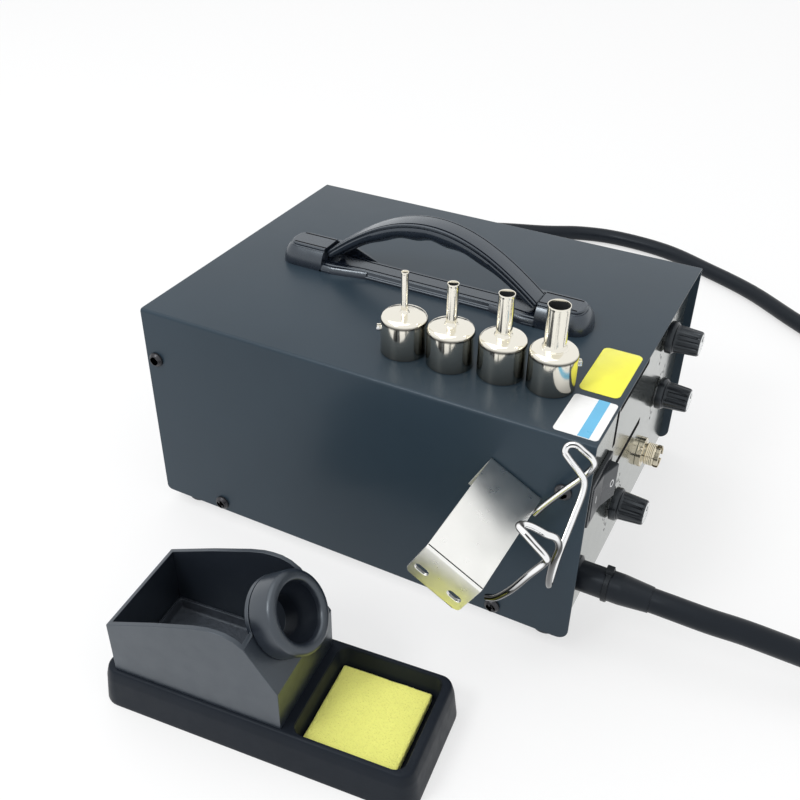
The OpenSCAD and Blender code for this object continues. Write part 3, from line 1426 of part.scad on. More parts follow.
// The rubber boot at the handpiece's tail, meeting the hose
module handpiece_boot() {
    color("#151618") on_handpiece(0) rotate_extrude() polygon([
        [air_bore_r, -boot_tail_len], [hose_r + 0.6, -boot_tail_len], [hose_r + 1.8, -8],
        [hose_r + 2.6, -0.05], [hose_r + 0.3, -0.05], [hose_r + 0.3, 2.25],
        [hose_r + 2.4, 2.25], [hose_r + 2.4, 4.5], [air_bore_r, 4.5]
    ]);
}

base_pan();
front_panel();
front_overlay();
rear_panel();
cover_hood();
feet();
foot_screws();
cover_screws();
handle_base();
handle_grip();
handle_screws();
yellow_label();
white_label();
potentiometers();
control_knob(upper_knob_at);  // upper_knob
knob_cap(upper_knob_at);  // upper_knob_cap
knob_shaft(upper_knob_at);  // upper_knob_shaft
control_knob(middle_knob_at);  // middle_knob
knob_cap(middle_knob_at);  // middle_knob_cap
knob_shaft(middle_knob_at);  // middle_knob_shaft
control_knob(lower_knob_at);  // lower_knob
knob_cap(lower_knob_at);  // lower_knob_cap
knob_shaft(lower_knob_at);  // lower_knob_shaft
rocker_frame();
rocker_paddle();
socket_barrel();
socket_insert();
socket_nut();
hose_boot();
hose_tie();
hose();
transformer_core();
transformer_coil();
transformer_screws();
pump_case();
pump_coil();
pump_arm();
pump_diaphragm();
pump_mounts();
control_board();
board_standoffs();
mains_inlet();
air_tube();
holder_plate();
holder_wire();
holder_screws();
air_nozzle(0, nozzle_1_r);  // nozzle_1
air_nozzle(1, nozzle_2_r);  // nozzle_2
air_nozzle(2, nozzle_3_r);  // nozzle_3
air_nozzle(3, nozzle_4_r);  // nozzle_4
stand_base();
stand_hood();
stand_funnel();
stand_sponge();
handpiece_shell_left();
handpiece_shell_right();
handpiece_barrel();
handpiece_heater();
handpiece_boot();
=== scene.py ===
"""Looks of a hot air rework station: housing, controls, handle, holder, nozzles, hose and iron stand."""
from __future__ import annotations

import json
import logging
import math
from collections.abc import Iterable, Sequence
from dataclasses import dataclass, field
from enum import Enum

import bmesh
import bpy
from mathutils import Matrix, Vector, noise

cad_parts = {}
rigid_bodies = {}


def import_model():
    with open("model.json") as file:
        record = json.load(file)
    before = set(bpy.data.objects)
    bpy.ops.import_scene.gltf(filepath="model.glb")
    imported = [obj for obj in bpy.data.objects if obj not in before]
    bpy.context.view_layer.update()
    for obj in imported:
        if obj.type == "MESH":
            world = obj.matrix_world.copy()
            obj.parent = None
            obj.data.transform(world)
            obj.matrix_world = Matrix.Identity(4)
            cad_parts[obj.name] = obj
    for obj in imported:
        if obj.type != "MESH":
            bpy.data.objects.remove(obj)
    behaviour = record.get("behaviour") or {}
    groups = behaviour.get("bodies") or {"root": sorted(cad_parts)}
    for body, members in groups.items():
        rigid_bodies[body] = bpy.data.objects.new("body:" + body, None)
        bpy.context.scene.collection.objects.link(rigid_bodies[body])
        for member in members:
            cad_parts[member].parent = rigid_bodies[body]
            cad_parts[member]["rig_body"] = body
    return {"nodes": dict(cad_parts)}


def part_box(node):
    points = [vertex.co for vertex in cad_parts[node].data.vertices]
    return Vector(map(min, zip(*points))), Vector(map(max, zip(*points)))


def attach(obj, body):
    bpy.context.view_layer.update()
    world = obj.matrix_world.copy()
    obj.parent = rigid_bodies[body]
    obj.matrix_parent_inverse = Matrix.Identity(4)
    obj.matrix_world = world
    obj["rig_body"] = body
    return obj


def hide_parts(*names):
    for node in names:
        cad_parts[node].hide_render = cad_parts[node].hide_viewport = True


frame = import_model()

log = logging.getLogger("station")
MM = 0.001
Point = tuple[float, float]
Place = tuple[float, float, float]
Colour = tuple[float, float, float]


# Mesh helpers

def mm(*values: float) -> Vector:
    """A point given in millimetres, in metres."""
    return Vector(v * MM for v in values)


def fillet(outline: Sequence[Point], radii: Sequence[float] | float, steps: int = 4) -> list[Point]:
    """Rounds the corners of a closed outline.

    Args:
        outline: Corners in order.
        radii: One radius for each corner, or one for all.
        steps: Edges along each rounded corner.

    Returns:
        The outline with each corner replaced by an arc.
    """
    count = len(outline)
    sizes = [radii] * count if isinstance(radii, (int, float)) else list(radii)
    done: list[Point] = []
    for i, corner in enumerate(outline):
        here = Vector(corner)
        back = Vector(outline[i - 1]) - here
        ahead = Vector(outline[(i + 1) % count]) - here
        sharp = sizes[i] <= 0 or back.length < 1e-9 or ahead.length < 1e-9
        angle = math.pi if sharp else back.angle(ahead)
        if angle > math.pi - 0.02:
            done.append((here.x, here.y))
            continue
        reach = min(sizes[i] / math.tan(angle / 2), 0.49 * back.length, 0.49 * ahead.length)
        radius = reach * math.tan(angle / 2)
        a, b = here + back.normalized() * reach, here + ahead.normalized() * reach
        centre = here + (back.normalized() + ahead.normalized()).normalized() * (radius / math.sin(angle / 2))
        start, end = a - centre, b - centre
        turn = start.angle_signed(end) * -1
        for k in range(steps + 1):
            c, s = math.cos(turn * k / steps), math.sin(turn * k / steps)
            done.append((centre.x + start.x * c - start.y * s, centre.y + start.x * s + start.y * c))
    return done


def link(name: str, data: bpy.types.ID) -> bpy.types.Object:
    """Puts data into the scene as an object at the origin.

    Args:
        name: The object's name.
        data: The mesh, curve, lamp or camera that it shows.

    Returns:
        The new object.
    """
    piece = bpy.data.objects.new(name, data)
    bpy.context.scene.collection.objects.link(piece)
    return piece


def smoothed(mesh: bpy.types.Mesh, angle: float) -> None:
    """Shades faces as one up to an angle in degrees."""
    mesh.shade_smooth()
    mesh.set_sharp_from_angle(angle=math.radians(angle))


def make(name: str, bm: bmesh.types.BMesh, finish: "Finish", smooth: float = 35.0) -> bpy.types.Object:
    """Turns a bmesh into an object with its finish and sharp edges by angle.

    Args:
        name: The object's name.
        bm: The mesh in metres; it is freed.
        finish: What its surface is made of.
        smooth: Largest angle in degrees at which two faces shade as one.

    Returns:
        The new object, at the origin.
    """
    bmesh.ops.remove_doubles(bm, verts=bm.verts, dist=1e-7)
    bmesh.ops.recalc_face_normals(bm, faces=bm.faces)
    mesh = bpy.data.meshes.new(name)
    bm.to_mesh(mesh)
    bm.free()
    smoothed(mesh, smooth)
    mesh.materials.append(finish.material())
    return link(name, mesh)


def bake(piece: bpy.types.Object) -> bpy.types.Object:
    """Applies a piece's modifiers and its place, so that it sits at the origin as a plain mesh.

    Args:
        piece: The object.

    Returns:
        The plain mesh object that takes its place, under the same name.
    """
    bpy.context.view_layer.update()
    graph = bpy.context.evaluated_depsgraph_get()
    mesh = bpy.data.meshes.new_from_object(piece.evaluated_get(graph))
    mesh.transform(piece.matrix_world)
    name, materials = piece.name, list(piece.data.materials)
    bpy.data.objects.remove(piece)
    if not mesh.materials:
        for material in materials:
            mesh.materials.append(material)
    return link(name, mesh)


def bevelled(piece: bpy.types.Object, width: float, segments: int = 2, angle: float = 40.0) -> bpy.types.Object:
    """Rounds the sharp edges of a piece.

    Args:
        piece: The object.
        width: Width of the rounding in millimetres.
        segments: Faces across the rounding.
        angle: Smallest angle in degrees of the edges to round.

    Returns:
        The finished object.
    """
    modifier = piece.modifiers.new("edges", "BEVEL")
    modifier.width = width * MM
    modifier.segments = segments
    modifier.limit_method = "ANGLE"
    modifier.angle_limit = math.radians(angle)
    modifier.use_clamp_overlap = False
    modifier.harden_normals = True
    return bake(piece)


def settle(piece: bpy.types.Object, body: str, finish: "Finish", *nodes: str) -> bpy.types.Object:
    """Hands a finished piece to its body and the nodes that it stands for.

    Args:
        piece: The object.
        body: The body that it rides on.
        finish: What its surface is made of; not used.
        nodes: The CAD nodes that it stands for.

    Returns:
        The same object.
    """
    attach(piece, body)
    if nodes:
        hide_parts(*nodes)
    log.info("%s rides on %s with %d faces", piece.name, body, len(getattr(piece.data, "polygons", ())))
    return piece


def body_of(node: str) -> str:
    """The body that a CAD node rides on."""
    return frame["nodes"][node]["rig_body"]


def dress(name: str, bm: bmesh.types.BMesh, finish: "Finish", owner: str, *nodes: str,
          smooth: float = 35.0) -> bpy.types.Object:
    """Makes a piece and settles it.

    Args:
        name: The piece's name.
        bm: Its mesh in metres.
        finish: What its surface is made of.
        owner: The CAD node whose body it rides on.
        nodes: The CAD nodes that it stands for.
        smooth: Largest angle in degrees at which two faces shade as one.

    Returns:
        The piece.
    """
    return settle(make(name, bm, finish, smooth), body_of(owner), finish, *nodes)


def keep(node: str, finish: "Finish") -> bpy.types.Object:
    """Gives a CAD node that stays as it is its finish.

    Args:
        node: The CAD node.
        finish: What its surface is made of.

    Returns:
        The node's own object.
    """
    piece = frame["nodes"][node]
    for place in piece.material_slots:
        place.material = finish.material()
    log.info("%s keeps its solid with %s", node, finish.name)
    return piece


def dress_solids(solids: dict[str, tuple["Finish", float, int]]) -> None:
    """Rounds the edges of solids to a width in so many faces, and keeps those whose width is nought.

    Args:
        solids: Finish, width in millimetres and faces for each CAD node.
    """
    for node, (finish, width, segments) in solids.items():
        if width:
            rounded(node, finish, width, segments)
        else:
            keep(node, finish)


def merged(node: str) -> bmesh.types.BMesh:
    """A copy of a CAD node's mesh with its loose triangles merged into plain faces.

    Args:
        node: The CAD node.

    Returns:
        The merged mesh, in metres.
    """
    bm = bmesh.new()
    bm.from_mesh(frame["nodes"][node].data)
    bmesh.ops.remove_doubles(bm, verts=bm.verts, dist=2e-6)
    bmesh.ops.dissolve_limit(bm, angle_limit=math.radians(0.6), verts=bm.verts, edges=bm.edges)
    return bm


def rounded(node: str, finish: "Finish", width: float, segments: int = 2, angle: float = 40.0) -> bpy.types.Object:
    """A copy of a CAD node with rounded edges, which stands for the node.

    Args:
        node: The CAD node.
        finish: What its surface is made of.
        width: Width of the rounding in millimetres.
        segments: Faces across the rounding.
        angle: Smallest angle in degrees of the edges to round.

    Returns:
        The piece, riding on the node's body.
    """
    piece = bevelled(make(f"{node}_form", merged(node), finish), width, segments, angle)
    return settle(piece, body_of(node), finish, node)


def lathe(profile: Sequence[Point], place: Matrix, segments: int = 64, closed: bool = True) -> bmesh.types.BMesh:
    """Turns a profile round the z axis of a place.

    Args:
        profile: Radius and height in millimetres, in order.
        place: Where the axis stands.
        segments: Faces round the axis.
        closed: Whether the last point joins the first, as on a ring with a bore.

    Returns:
        The turned mesh, in metres.
    """
    bm = bmesh.new()
    rings: list[list[bmesh.types.BMVert]] = []
    for radius, height in profile:
        if radius < 1e-6:
            rings.append([bm.verts.new(place @ mm(0, 0, height))])
            continue
        angles = (2 * math.pi * i / segments for i in range(segments))
        rings.append([bm.verts.new(place @ mm(radius * math.cos(a), radius * math.sin(a), height)) for a in angles])
    pairs = list(zip(rings, rings[1:]))
    if closed:
        pairs.append((rings[-1], rings[0]))
    for low, high in pairs:
        span = max(len(low), len(high))
        if span == 1:
            continue
        for i in range(span):
            j = (i + 1) % span
            corners = [low[i % len(low)], low[j % len(low)], high[j % len(high)], high[i % len(high)]]
            bm.faces.new(list(dict.fromkeys(corners)))
    return bm


def loft(rings: Sequence[Sequence[Vector]]) -> bmesh.types.BMesh:
    """Joins rings of equally many points, given in millimetres, into a closed form.

    Args:
        rings: The rings in order, in millimetres.

    Returns:
        The closed mesh, in metres.
    """
    bm = bmesh.new()
    made = [[bm.verts.new(p * MM) for p in ring] for ring in rings]
    for low, high in zip(made, made[1:]):
        for i in range(len(low)):
            j = (i + 1) % len(low)
            bm.faces.new((low[i], low[j], high[j], high[i]))
    bm.faces.new(reversed(made[0]))
    bm.faces.new(made[-1])
    return bm


def slab(outline: Sequence[Point], low: float, high: float, place: Matrix) -> bmesh.types.BMesh:
    """A flat outline in millimetres raised between two heights and set in its place."""
    return loft([[place @ mm(x, y, z) / MM for x, y in outline] for z in (low, high)])


def block(size: Place, centre: Place, place: Matrix) -> bmesh.types.BMesh:
    """A box of a size round a centre, in millimetres.

    Args:
        size: Width, depth and height.
        centre: Its middle in the place.
        place: Where it is set.

    Returns:
        The box, in metres.
    """
    half_x, half_y = size[0] / 2, size[1] / 2
    outline = [(-half_x, -half_y), (half_x, -half_y), (half_x, half_y), (-half_x, half_y)]
    outline = [(x + centre[0], y + centre[1]) for x, y in outline]
    return slab(outline, centre[2] - size[2] / 2, centre[2] + size[2] / 2, place)


def gather(*parts: bmesh.types.BMesh) -> bmesh.types.BMesh:
    """Puts several meshes into one.

    Args:
        parts: The meshes; they are freed.

    Returns:
        The one mesh that holds them all.
    """
    whole = bmesh.new()
    for part in parts:
        mesh = bpy.data.meshes.new("part")
        bmesh.ops.recalc_face_normals(part, faces=part.faces)
        part.to_mesh(mesh)
        part.free()
        whole.from_mesh(mesh)
        bpy.data.meshes.remove(mesh)
    return whole


def cut(piece: bpy.types.Object, tool: bmesh.types.BMesh, finish: "Finish") -> bpy.types.Object:
    """Cuts the form of a tool out of a piece.

    Args:
        piece: The object.
        tool: The form to take away; it is freed.
        finish: What the cut faces are made of.

    Returns:
        The cut object.
    """
    cutter = make(f"{piece.name}_cutter", tool, finish)
    modifier = piece.modifiers.new("cut", "BOOLEAN")
    modifier.operation = "DIFFERENCE"
    modifier.solver = "EXACT"
    modifier.object = cutter
    done = bake(piece)
    bpy.data.objects.remove(cutter)
    smoothed(done.data, 35)
    return done


def rectangle(width: float, depth: float, radius: float, steps: int = 5, centre: Point = (0, 0)) -> list[Point]:
    """A rectangle with round corners about a centre, in millimetres."""
    x, y = width / 2, depth / 2
    return [(a + centre[0], b + centre[1]) for a, b in fillet([(-x, -y), (x, -y), (x, y), (-x, y)], radius, steps)]


def arc(centre: Point, radius: float, angles: Iterable[float]) -> list[Point]:
    """Points round a centre at angles in degrees."""
    turns = [math.radians(a) for a in angles]
    return [(centre[0] + radius * math.cos(a), centre[1] + radius * math.sin(a)) for a in turns]


def curve_through(points: Sequence[Vector], steps: int) -> list[Vector]:
    """Points of the smooth curve through a route, with so many steps for each stretch.

    Args:
        points: The route.
        steps: Points for each stretch of the route.

    Returns:
        The points of the curve, ends included.
    """
    line: list[Vector] = []
    for i in range(len(points) - 1):
        a, b = points[max(i - 1, 0)], points[i]
        c, d = points[i + 1], points[min(i + 2, len(points) - 1)]
        for k in range(steps):
            t = k / steps
            line.append(0.5 * (2 * b + (c - a) * t + (2 * a - 5 * b + 4 * c - d) * t * t
                               + (3 * b - a - 3 * c + d) * t * t * t))
    return [*line, points[-1]]


def on_axis(origin: Vector, axis: Vector, right: Vector) -> Matrix:
    """A place in metres whose z runs along an axis and whose x runs to the right.

    Args:
        origin: Where the place stands, in metres.
        axis: Which way its z points.
        right: Roughly which way its x points.

    Returns:
        The place.
    """
    z = axis.normalized()
    x = (right - right.dot(z) * z).normalized()
    y = z.cross(x)
    turn = Matrix((x, y, z)).transposed().to_4x4()
    return Matrix.Translation(origin) @ turn


@dataclass(frozen=True)
class Span:
    """The box of a CAD node at rest, in millimetres."""

    low: Vector
    high: Vector

    @classmethod
    def of(cls, node: str) -> "Span":
        """The box of a node."""
        low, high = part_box(node)
        return cls(low / MM, high / MM)

    @property
    def centre(self) -> Vector:
        """Its middle."""
        return (self.low + self.high) / 2

    @property
    def size(self) -> Vector:
        """Its width, depth and height."""
        return self.high - self.low


# Materials

class NodeTree:
    """A node tree with short calls that add and join its nodes."""

    def __init__(self, tree: bpy.types.NodeTree) -> None:
        """Takes a tree of Blender's."""
        self.tree = tree

    def add(self, kind: str, inputs: dict[str | int, object] | None = None, **settings: object) -> bpy.types.Node:
        """Adds a node.

        Args:
            kind: Its type.
            inputs: Values or sockets for its inputs.
            settings: Its other properties.

        Returns:
            The node.
        """
        node = self.tree.nodes.new(kind)
        for key, value in settings.items():
            setattr(node, key, value)
        for key, value in (inputs or {}).items():
            if isinstance(value, bpy.types.NodeSocket):
                self.tree.links.new(value, node.inputs[key])
            else:
                node.inputs[key].default_value = value
        return node

    def math(self, operation: str, a: object, b: object = 0.0, c: object = 0.0) -> bpy.types.NodeSocket:
        """One sum of up to three values."""
        return self.add("ShaderNodeMath", {0: a, 1: b, 2: c}, operation=operation).outputs[0]

    def seen(self) -> bpy.types.NodeSocket:
        """One for rays from the camera, off gloss and through glass, and nought for light.

        Returns:
            The share as a socket.
        """
        path = self.add("ShaderNodeLightPath").outputs
        share = self.math("MAXIMUM", path["Is Camera Ray"], path["Is Glossy Ray"])
        return self.math("MAXIMUM", share, path["Is Transmission Ray"])


class Shading(NodeTree):
    """A material's node tree."""

    def __init__(self, name: str) -> None:
        """Starts a material with one shader and the object's own coordinates.

        Args:
            name: The material's name.
        """
        self.material = bpy.data.materials.new(name)
        self.material.use_nodes = True
        super().__init__(self.material.node_tree)
        self.tree.nodes.clear()
        self.shader = self.add("ShaderNodeBsdfPrincipled")
        self.output = self.add("ShaderNodeOutputMaterial")
        self.tree.links.new(self.shader.outputs["BSDF"], self.output.inputs["Surface"])
        self.place = self.add("ShaderNodeTexCoord").outputs["Object"]

    def join(self, source: bpy.types.NodeSocket, target: str) -> None:
        """Joins a socket to an input of the shader."""
        self.tree.links.new(source, self.shader.inputs[target])

    def set(self, **values: float) -> None:
        """Sets constants on the shader's own sockets."""
        for key, value in values.items():
            self.shader.inputs[key.replace("_", " ")].default_value = value

    def noise(self, size: float, detail: float = 3.0, stretch: Place = (1, 1, 1)) -> bpy.types.NodeSocket:
        """Cloudy noise whose lumps are about a size in metres, stretched along the axes.

        Args:
            size: Size of the lumps in metres.
            detail: How many finer layers lie over them.
            stretch: Scale along each axis; below one is longer.

        Returns:
            The noise as a socket.
        """
        place = self.add("ShaderNodeMapping", {"Vector": self.place, "Scale": stretch})
        return self.add("ShaderNodeTexNoise", {
            "Vector": place.outputs["Vector"], "Scale": 1 / size, "Detail": detail, "Roughness": 0.55,
        }).outputs["Fac"]

    def cells(self, size: float, feature: str = "F1") -> bpy.types.NodeSocket:
        """Distance to the middle of cells of about a size in metres."""
        return self.add("ShaderNodeTexVoronoi", {"Vector": self.place, "Scale": 1 / size},
                        feature=feature).outputs["Distance"]

    def spread(self, value: bpy.types.NodeSocket, low: float, high: float,
               start: float = 0.3, end: float = 0.7) -> bpy.types.NodeSocket:
        """Maps a value between start and end onto another range.

        Args:
            value: The value to map.
            low: Result at the start.
            high: Result at the end.
            start: Value at which the result starts to change.
            end: Value at which it stops.

        Returns:
            The mapped value as a socket.
        """
        return self.add("ShaderNodeMapRange", {
            "Value": value, "From Min": start, "From Max": end, "To Min": low, "To Max": high,
        }).outputs["Result"]

    def mix(self, share: bpy.types.NodeSocket, first: object, second: object) -> bpy.types.NodeSocket:
        """Blends two colours by a share."""
        return self.add("ShaderNodeMix", {0: share, 6: first, 7: second}, data_type="RGBA").outputs[2]

    def bump(self, height: bpy.types.NodeSocket, depth: float) -> bpy.types.NodeSocket:
        """A bump of a depth in metres."""
        return self.add("ShaderNodeBump", {"Height": height, "Distance": depth, "Strength": 1.0}).outputs["Normal"]


def shade(colour: Colour, factor: float) -> tuple[float, float, float, float]:
    """A colour made lighter or darker, with full opacity."""
    return (*(min(1.0, c * factor) for c in colour), 1.0)


@dataclass(frozen=True)
class Finish:
    """A surface with a wandering tone, a wandering gloss and a fine grain."""

    name: str
    slot: str
    colour: Colour
    roughness: float = 0.5
    metallic: float = 0.0
    mottle: float = 0.08
    mottle_size: float = 0.02
    wander: float = 0.05
    grain_size: float = 0.0006
    grain_depth: float = 0.000006

    def material(self) -> bpy.types.Material:
        """The material, made once.

        Returns:
            The one material of this finish.
        """
        if self.name not in MADE:
            shading = Shading(self.name)
            self.dress(shading)
            MADE[self.name] = shading.material
        return MADE[self.name]

    def dress(self, shading: Shading) -> None:
        """Gives the shader its tone, gloss and grain.

        Args:
            shading: The material's node tree.
        """
        drift = shading.noise(self.mottle_size, 4)
        tone = shading.spread(drift, 0, 1)
        colours = shade(self.colour, 1 - self.mottle), shade(self.colour, 1 + self.mottle)
        shading.join(shading.mix(tone, *colours), "Base Color")
        gloss = shading.noise(self.mottle_size / 3, 2)
        shading.join(shading.spread(gloss, self.roughness - self.wander, self.roughness + self.wander), "Roughness")
        shading.join(shading.bump(self.grain(shading), self.grain_depth), "Normal")
        shading.set(Metallic=self.metallic)
        self.accent(shading)

    def grain(self, shading: Shading) -> bpy.types.NodeSocket:
        """The height of the fine grain."""
        return shading.noise(self.grain_size, 2)

    def accent(self, shading: Shading) -> None:
        """What a special finish adds."""


MADE: dict[str, bpy.types.Material] = {}


@dataclass(frozen=True)
class PowderCoat(Finish):
    """Baked powder paint with its fine orange peel."""

    peel_size: float = 0.0011
    sheen: float = 0.26
    coat: float = 0.16
    coat_roughness: float = 0.2
    tooth: float = 0.35
    tint: Colour = (0.78, 0.90, 1.0)

    def grain(self, shading: Shading) -> bpy.types.NodeSocket:
        """Soft lumps of the peel over a finer tooth."""
        peel = shading.cells(self.peel_size, "SMOOTH_F1")
        return shading.math("MULTIPLY_ADD", shading.noise(self.grain_size / 2, 2), self.tooth, peel)

    def accent(self, shading: Shading) -> None:
        """The cool sheen of its reflections."""
        shading.set(Specular_IOR_Level=self.sheen, Specular_Tint=(*self.tint, 1.0), Coat_Weight=self.coat,
                    Coat_Roughness=self.coat_roughness)


@dataclass(frozen=True)
class Plated(Finish):
    """Polished plating with faint wiping marks."""

    metallic: float = 1.0
    mottle: float = 0.03
    wander: float = 0.03
    grain_depth: float = 0.000001


@dataclass(frozen=True)
class Drawn(Plated):
    """Plated tube with faint upright drawing marks and painted shade, darker towards the foot and in the fold below
    the dome.
    """

    streak_size: float = 0.003
    foot: float = 0.1275
    shoulder: float = 0.1445
    # painted shade: colour factors for the darker foot and the dark line in the fold below the dome; foot and
    # shoulder give their heights
    painted_dark: float = 0.36
    painted_crease_shade: float = 0.14
    painted_crease_span: Point = (0.0002, 0.0011)

    def dress(self, shading: Shading) -> None:
        """Paints shade into the plating: darker towards the foot and a dark line in the fold below the dome.

        Args:
            shading: The material's node tree.
        """
        super().dress(shading)
        height = shading.add("ShaderNodeSeparateXYZ", {0: shading.place}).outputs[2]
        share = shading.spread(height, 0, 1, self.foot, self.shoulder)
        # painted shade: the plating darkens towards the foot
        body = shading.mix(share, shade(self.colour, self.painted_dark), shade(self.colour, 1.0))
        # painted shade line in the fold below the dome
        off_fold = shading.math("ABSOLUTE", shading.math("SUBTRACT", height, self.shoulder))
        clear = shading.spread(off_fold, 0.0, 1, *self.painted_crease_span)
        shading.join(shading.mix(clear, shade(self.colour, self.painted_crease_shade), body), "Base Color")

    def grain(self, shading: Shading) -> bpy.types.NodeSocket:
        """Soft upright ribs, scaled to the depth of the grain."""
        return shading.noise(self.streak_size, 2, (1.0, 1.0, 0.03))


@dataclass(frozen=True)
class Bright(Plated):
    """Bright wire with a painted reflection: a dark core line and a dark outline painted into its colour."""

    # painted reflection: colour factors of the dark lines and the bright rest, and the facing ranges of the core line
    # and the outline
    painted_dark: float = 0.06
    light: float = 1.05
    painted_core_line: Point = (0.012, 0.05)
    rim: Point = (0.30, 0.50)

    def accent(self, shading: Shading) -> None:
        """Paints a dark core line and a dark outline into the colour, as a painted reflection.

        Args:
            shading: The material's node tree.
        """
        facing = shading.add("ShaderNodeLayerWeight", {"Blend": 0.5}).outputs["Facing"]
        painted_core_line, rim = shading.spread(facing, 0, 1, *self.painted_core_line), shading.spread(facing, 1, 0, *self.rim)
        share = shading.math("MULTIPLY", painted_core_line, rim)
        shading.join(shading.mix(share, shade(self.colour, self.painted_dark), shade(self.colour, self.light)), "Base Color")


@dataclass(frozen=True)
class Rolled(Finish):
    """Rolled or brushed metal with streaks along one axis."""

    metallic: float = 1.0
    streaks: Place = (0.06, 1.0, 1.0)
    grain_depth: float = 0.000004

    def grain(self, shading: Shading) -> bpy.types.NodeSocket:
        """Long streaks across the grain."""
        return shading.noise(self.grain_size, 3, self.streaks)


@dataclass(frozen=True)
class Moulded(Finish):
    """Moulded plastic or rubber with an etched texture and a cool sheen."""

    sheen: float = 0.5
    coat: float = 0.0
    coat_share: float = 0.8
    tooth: float = 0.5
    tint: Colour = (0.84, 0.93, 1.0)

    def grain(self, shading: Shading) -> bpy.types.NodeSocket:
        """Small cells as a spark-eroded mould leaves them."""
        etched = shading.cells(self.grain_size)
        return shading.math("MULTIPLY_ADD", shading.noise(self.grain_size, 2), self.tooth, etched)

    def accent(self, shading: Shading) -> None:
        """The cool sheen of its reflections.

        Args:
            shading: The material's node tree.
        """
        tint = (*self.tint, 1.0)
        shading.set(Specular_IOR_Level=self.sheen, Specular_Tint=tint, Coat_Weight=self.coat, Coat_Tint=tint,
                    Coat_Roughness=self.roughness * self.coat_share)


@dataclass(frozen=True)
class Glossed(Finish):
    """A smooth film with a clear gloss coat."""

    coat: float = 0.6
    coat_roughness: float = 0.08

    def accent(self, shading: Shading) -> None:
        """The clear coat."""
        shading.set(Coat_Weight=self.coat, Coat_Roughness=self.coat_roughness)


@dataclass(frozen=True)
class Foam(Finish):
    """Open foam with pores in two sizes."""

    pore_size: float = 0.0012
    finer: float = 2.6
    large_span: Point = (0.05, 0.5)
    small_span: Point = (0.08, 0.6)
    small_share: float = 0.4
    # painted shade: how much darker the pores are coloured
    painted_pore_shade: float = 0.94
    raised: float = 1.04
    stained: float = 0.7
    fuzz: float = 0.15

    def dress(self, shading: Shading) -> None:
        """Paints shade into the pores, darker than the foam around them, and lets them sink in.

        Args:
            shading: The material's node tree.
        """
        large = shading.spread(shading.cells(self.pore_size), 0, 1, *self.large_span)
        small = shading.spread(shading.cells(self.pore_size / self.finer), 0, 1, *self.small_span)
        pores = shading.math("MULTIPLY_ADD", small, self.small_share,
                             shading.math("MULTIPLY", large, 1 - self.small_share))
        # painted shade in the pores
        tone = shading.mix(pores, shade(self.colour, self.painted_pore_shade), shade(self.colour, self.raised))
        drift = shading.spread(shading.noise(self.mottle_size, 3), 0.0, self.mottle)
        shading.join(shading.mix(drift, tone, shade(self.colour, self.stained)), "Base Color")
        shading.join(shading.bump(pores, self.grain_depth), "Normal")
        shading.set(Roughness=self.roughness, Sheen_Weight=self.fuzz)


@dataclass(frozen=True)
class Winding(Finish):
    """Enamelled wire wound in layers."""

    turn_size: float = 0.0009
    wave_length: float = 3.14

    def grain(self, shading: Shading) -> bpy.types.NodeSocket:
        """The round backs of the turns.

        Args:
            shading: The material's node tree.

        Returns:
            The height as a socket.
        """
        return shading.add("ShaderNodeTexWave", {
            "Vector": shading.place, "Scale": 1 / self.turn_size / self.wave_length, "Distortion": 0.3, "Detail": 1.0,
        }, bands_direction="Z", wave_profile="SIN").outputs["Fac"]


COVER_PAINT = PowderCoat("cover_powder_coat", "cover_paint", (0.021, 0.036, 0.051), 0.36, mottle=0.05,
                         mottle_size=0.06, wander=0.015, grain_depth=0.000012)
ZINC = Rolled("zinc_sheet_finish", "zinc_sheet", (0.55, 0.56, 0.57), 0.38)
PANEL_SHEET = Rolled("panel_sheet_finish", "panel_sheet", (0.33, 0.34, 0.35), 0.42)
OVERLAY = Glossed("overlay_silver_grey", "overlay_gloss", (0.29, 0.31, 0.29), 0.14, 0.88, mottle=0.02, wander=0.02,
                  grain_depth=0.000001, coat=0.1, coat_roughness=0.05)
# black print on panel and knobs, and also painted shade lines on the handle blocks and at the holder's bend
PRINT_AND_SHADE_BLACK = Moulded("print_and_painted_shade_black", "overlay_gloss", (0.004, 0.004, 0.005), 0.8, sheen=0.05)
PRINT_WHITE = Glossed("printed_white", "rocker_grey", (0.75, 0.76, 0.76), 0.4)
PRINT_BLUE = Glossed("printed_blue", "label_white", (0.10, 0.46, 0.74), 0.32)
FOOT_RUBBER = Moulded("foot_rubber_finish", "foot_rubber", (0.016, 0.020, 0.026), 0.62)
ZINC_SCREWS = Plated("zinc_screw_finish", "zinc_screws", (0.62, 0.63, 0.64), 0.28)
BLACK_SCREWS = Plated("black_screw_finish", "black_screws", (0.045, 0.045, 0.05), 0.34, metallic=0.6)
HANDLE_PLASTIC = Moulded("handle_plastic_finish", "handle_plastic", (0.007, 0.010, 0.018), 0.26,
                         grain_size=0.0005, grain_depth=0.000005, sheen=0.9, coat=0.4)
LABEL_YELLOW = Glossed("yellow_label_film", "label_yellow", (0.95, 0.90, 0.07), 0.38, coat=0.25)
LABEL_WHITE = Glossed("white_label_film", "label_white", (0.93, 0.935, 0.93), 0.36, coat=0.25)
POT_METAL = Rolled("pot_metal_finish", "pot_metal", (0.42, 0.44, 0.47), 0.35)
KNOB_BLACK = Moulded("knob_black_finish", "knob_black", (0.007, 0.008, 0.011), 0.30, grain_depth=0.000002, sheen=0.6)
CAP_SILVER = Plated("cap_silver_finish", "cap_silver", (0.80, 0.82, 0.82), 0.26)
SWITCH_BLACK = Moulded("switch_black_finish", "switch_black", (0.012, 0.013, 0.016), 0.3, grain_depth=0.000002)
ROCKER_GREY = Moulded("rocker_grey_finish", "rocker_grey", (0.018, 0.020, 0.024), 0.3, grain_depth=0.000002)
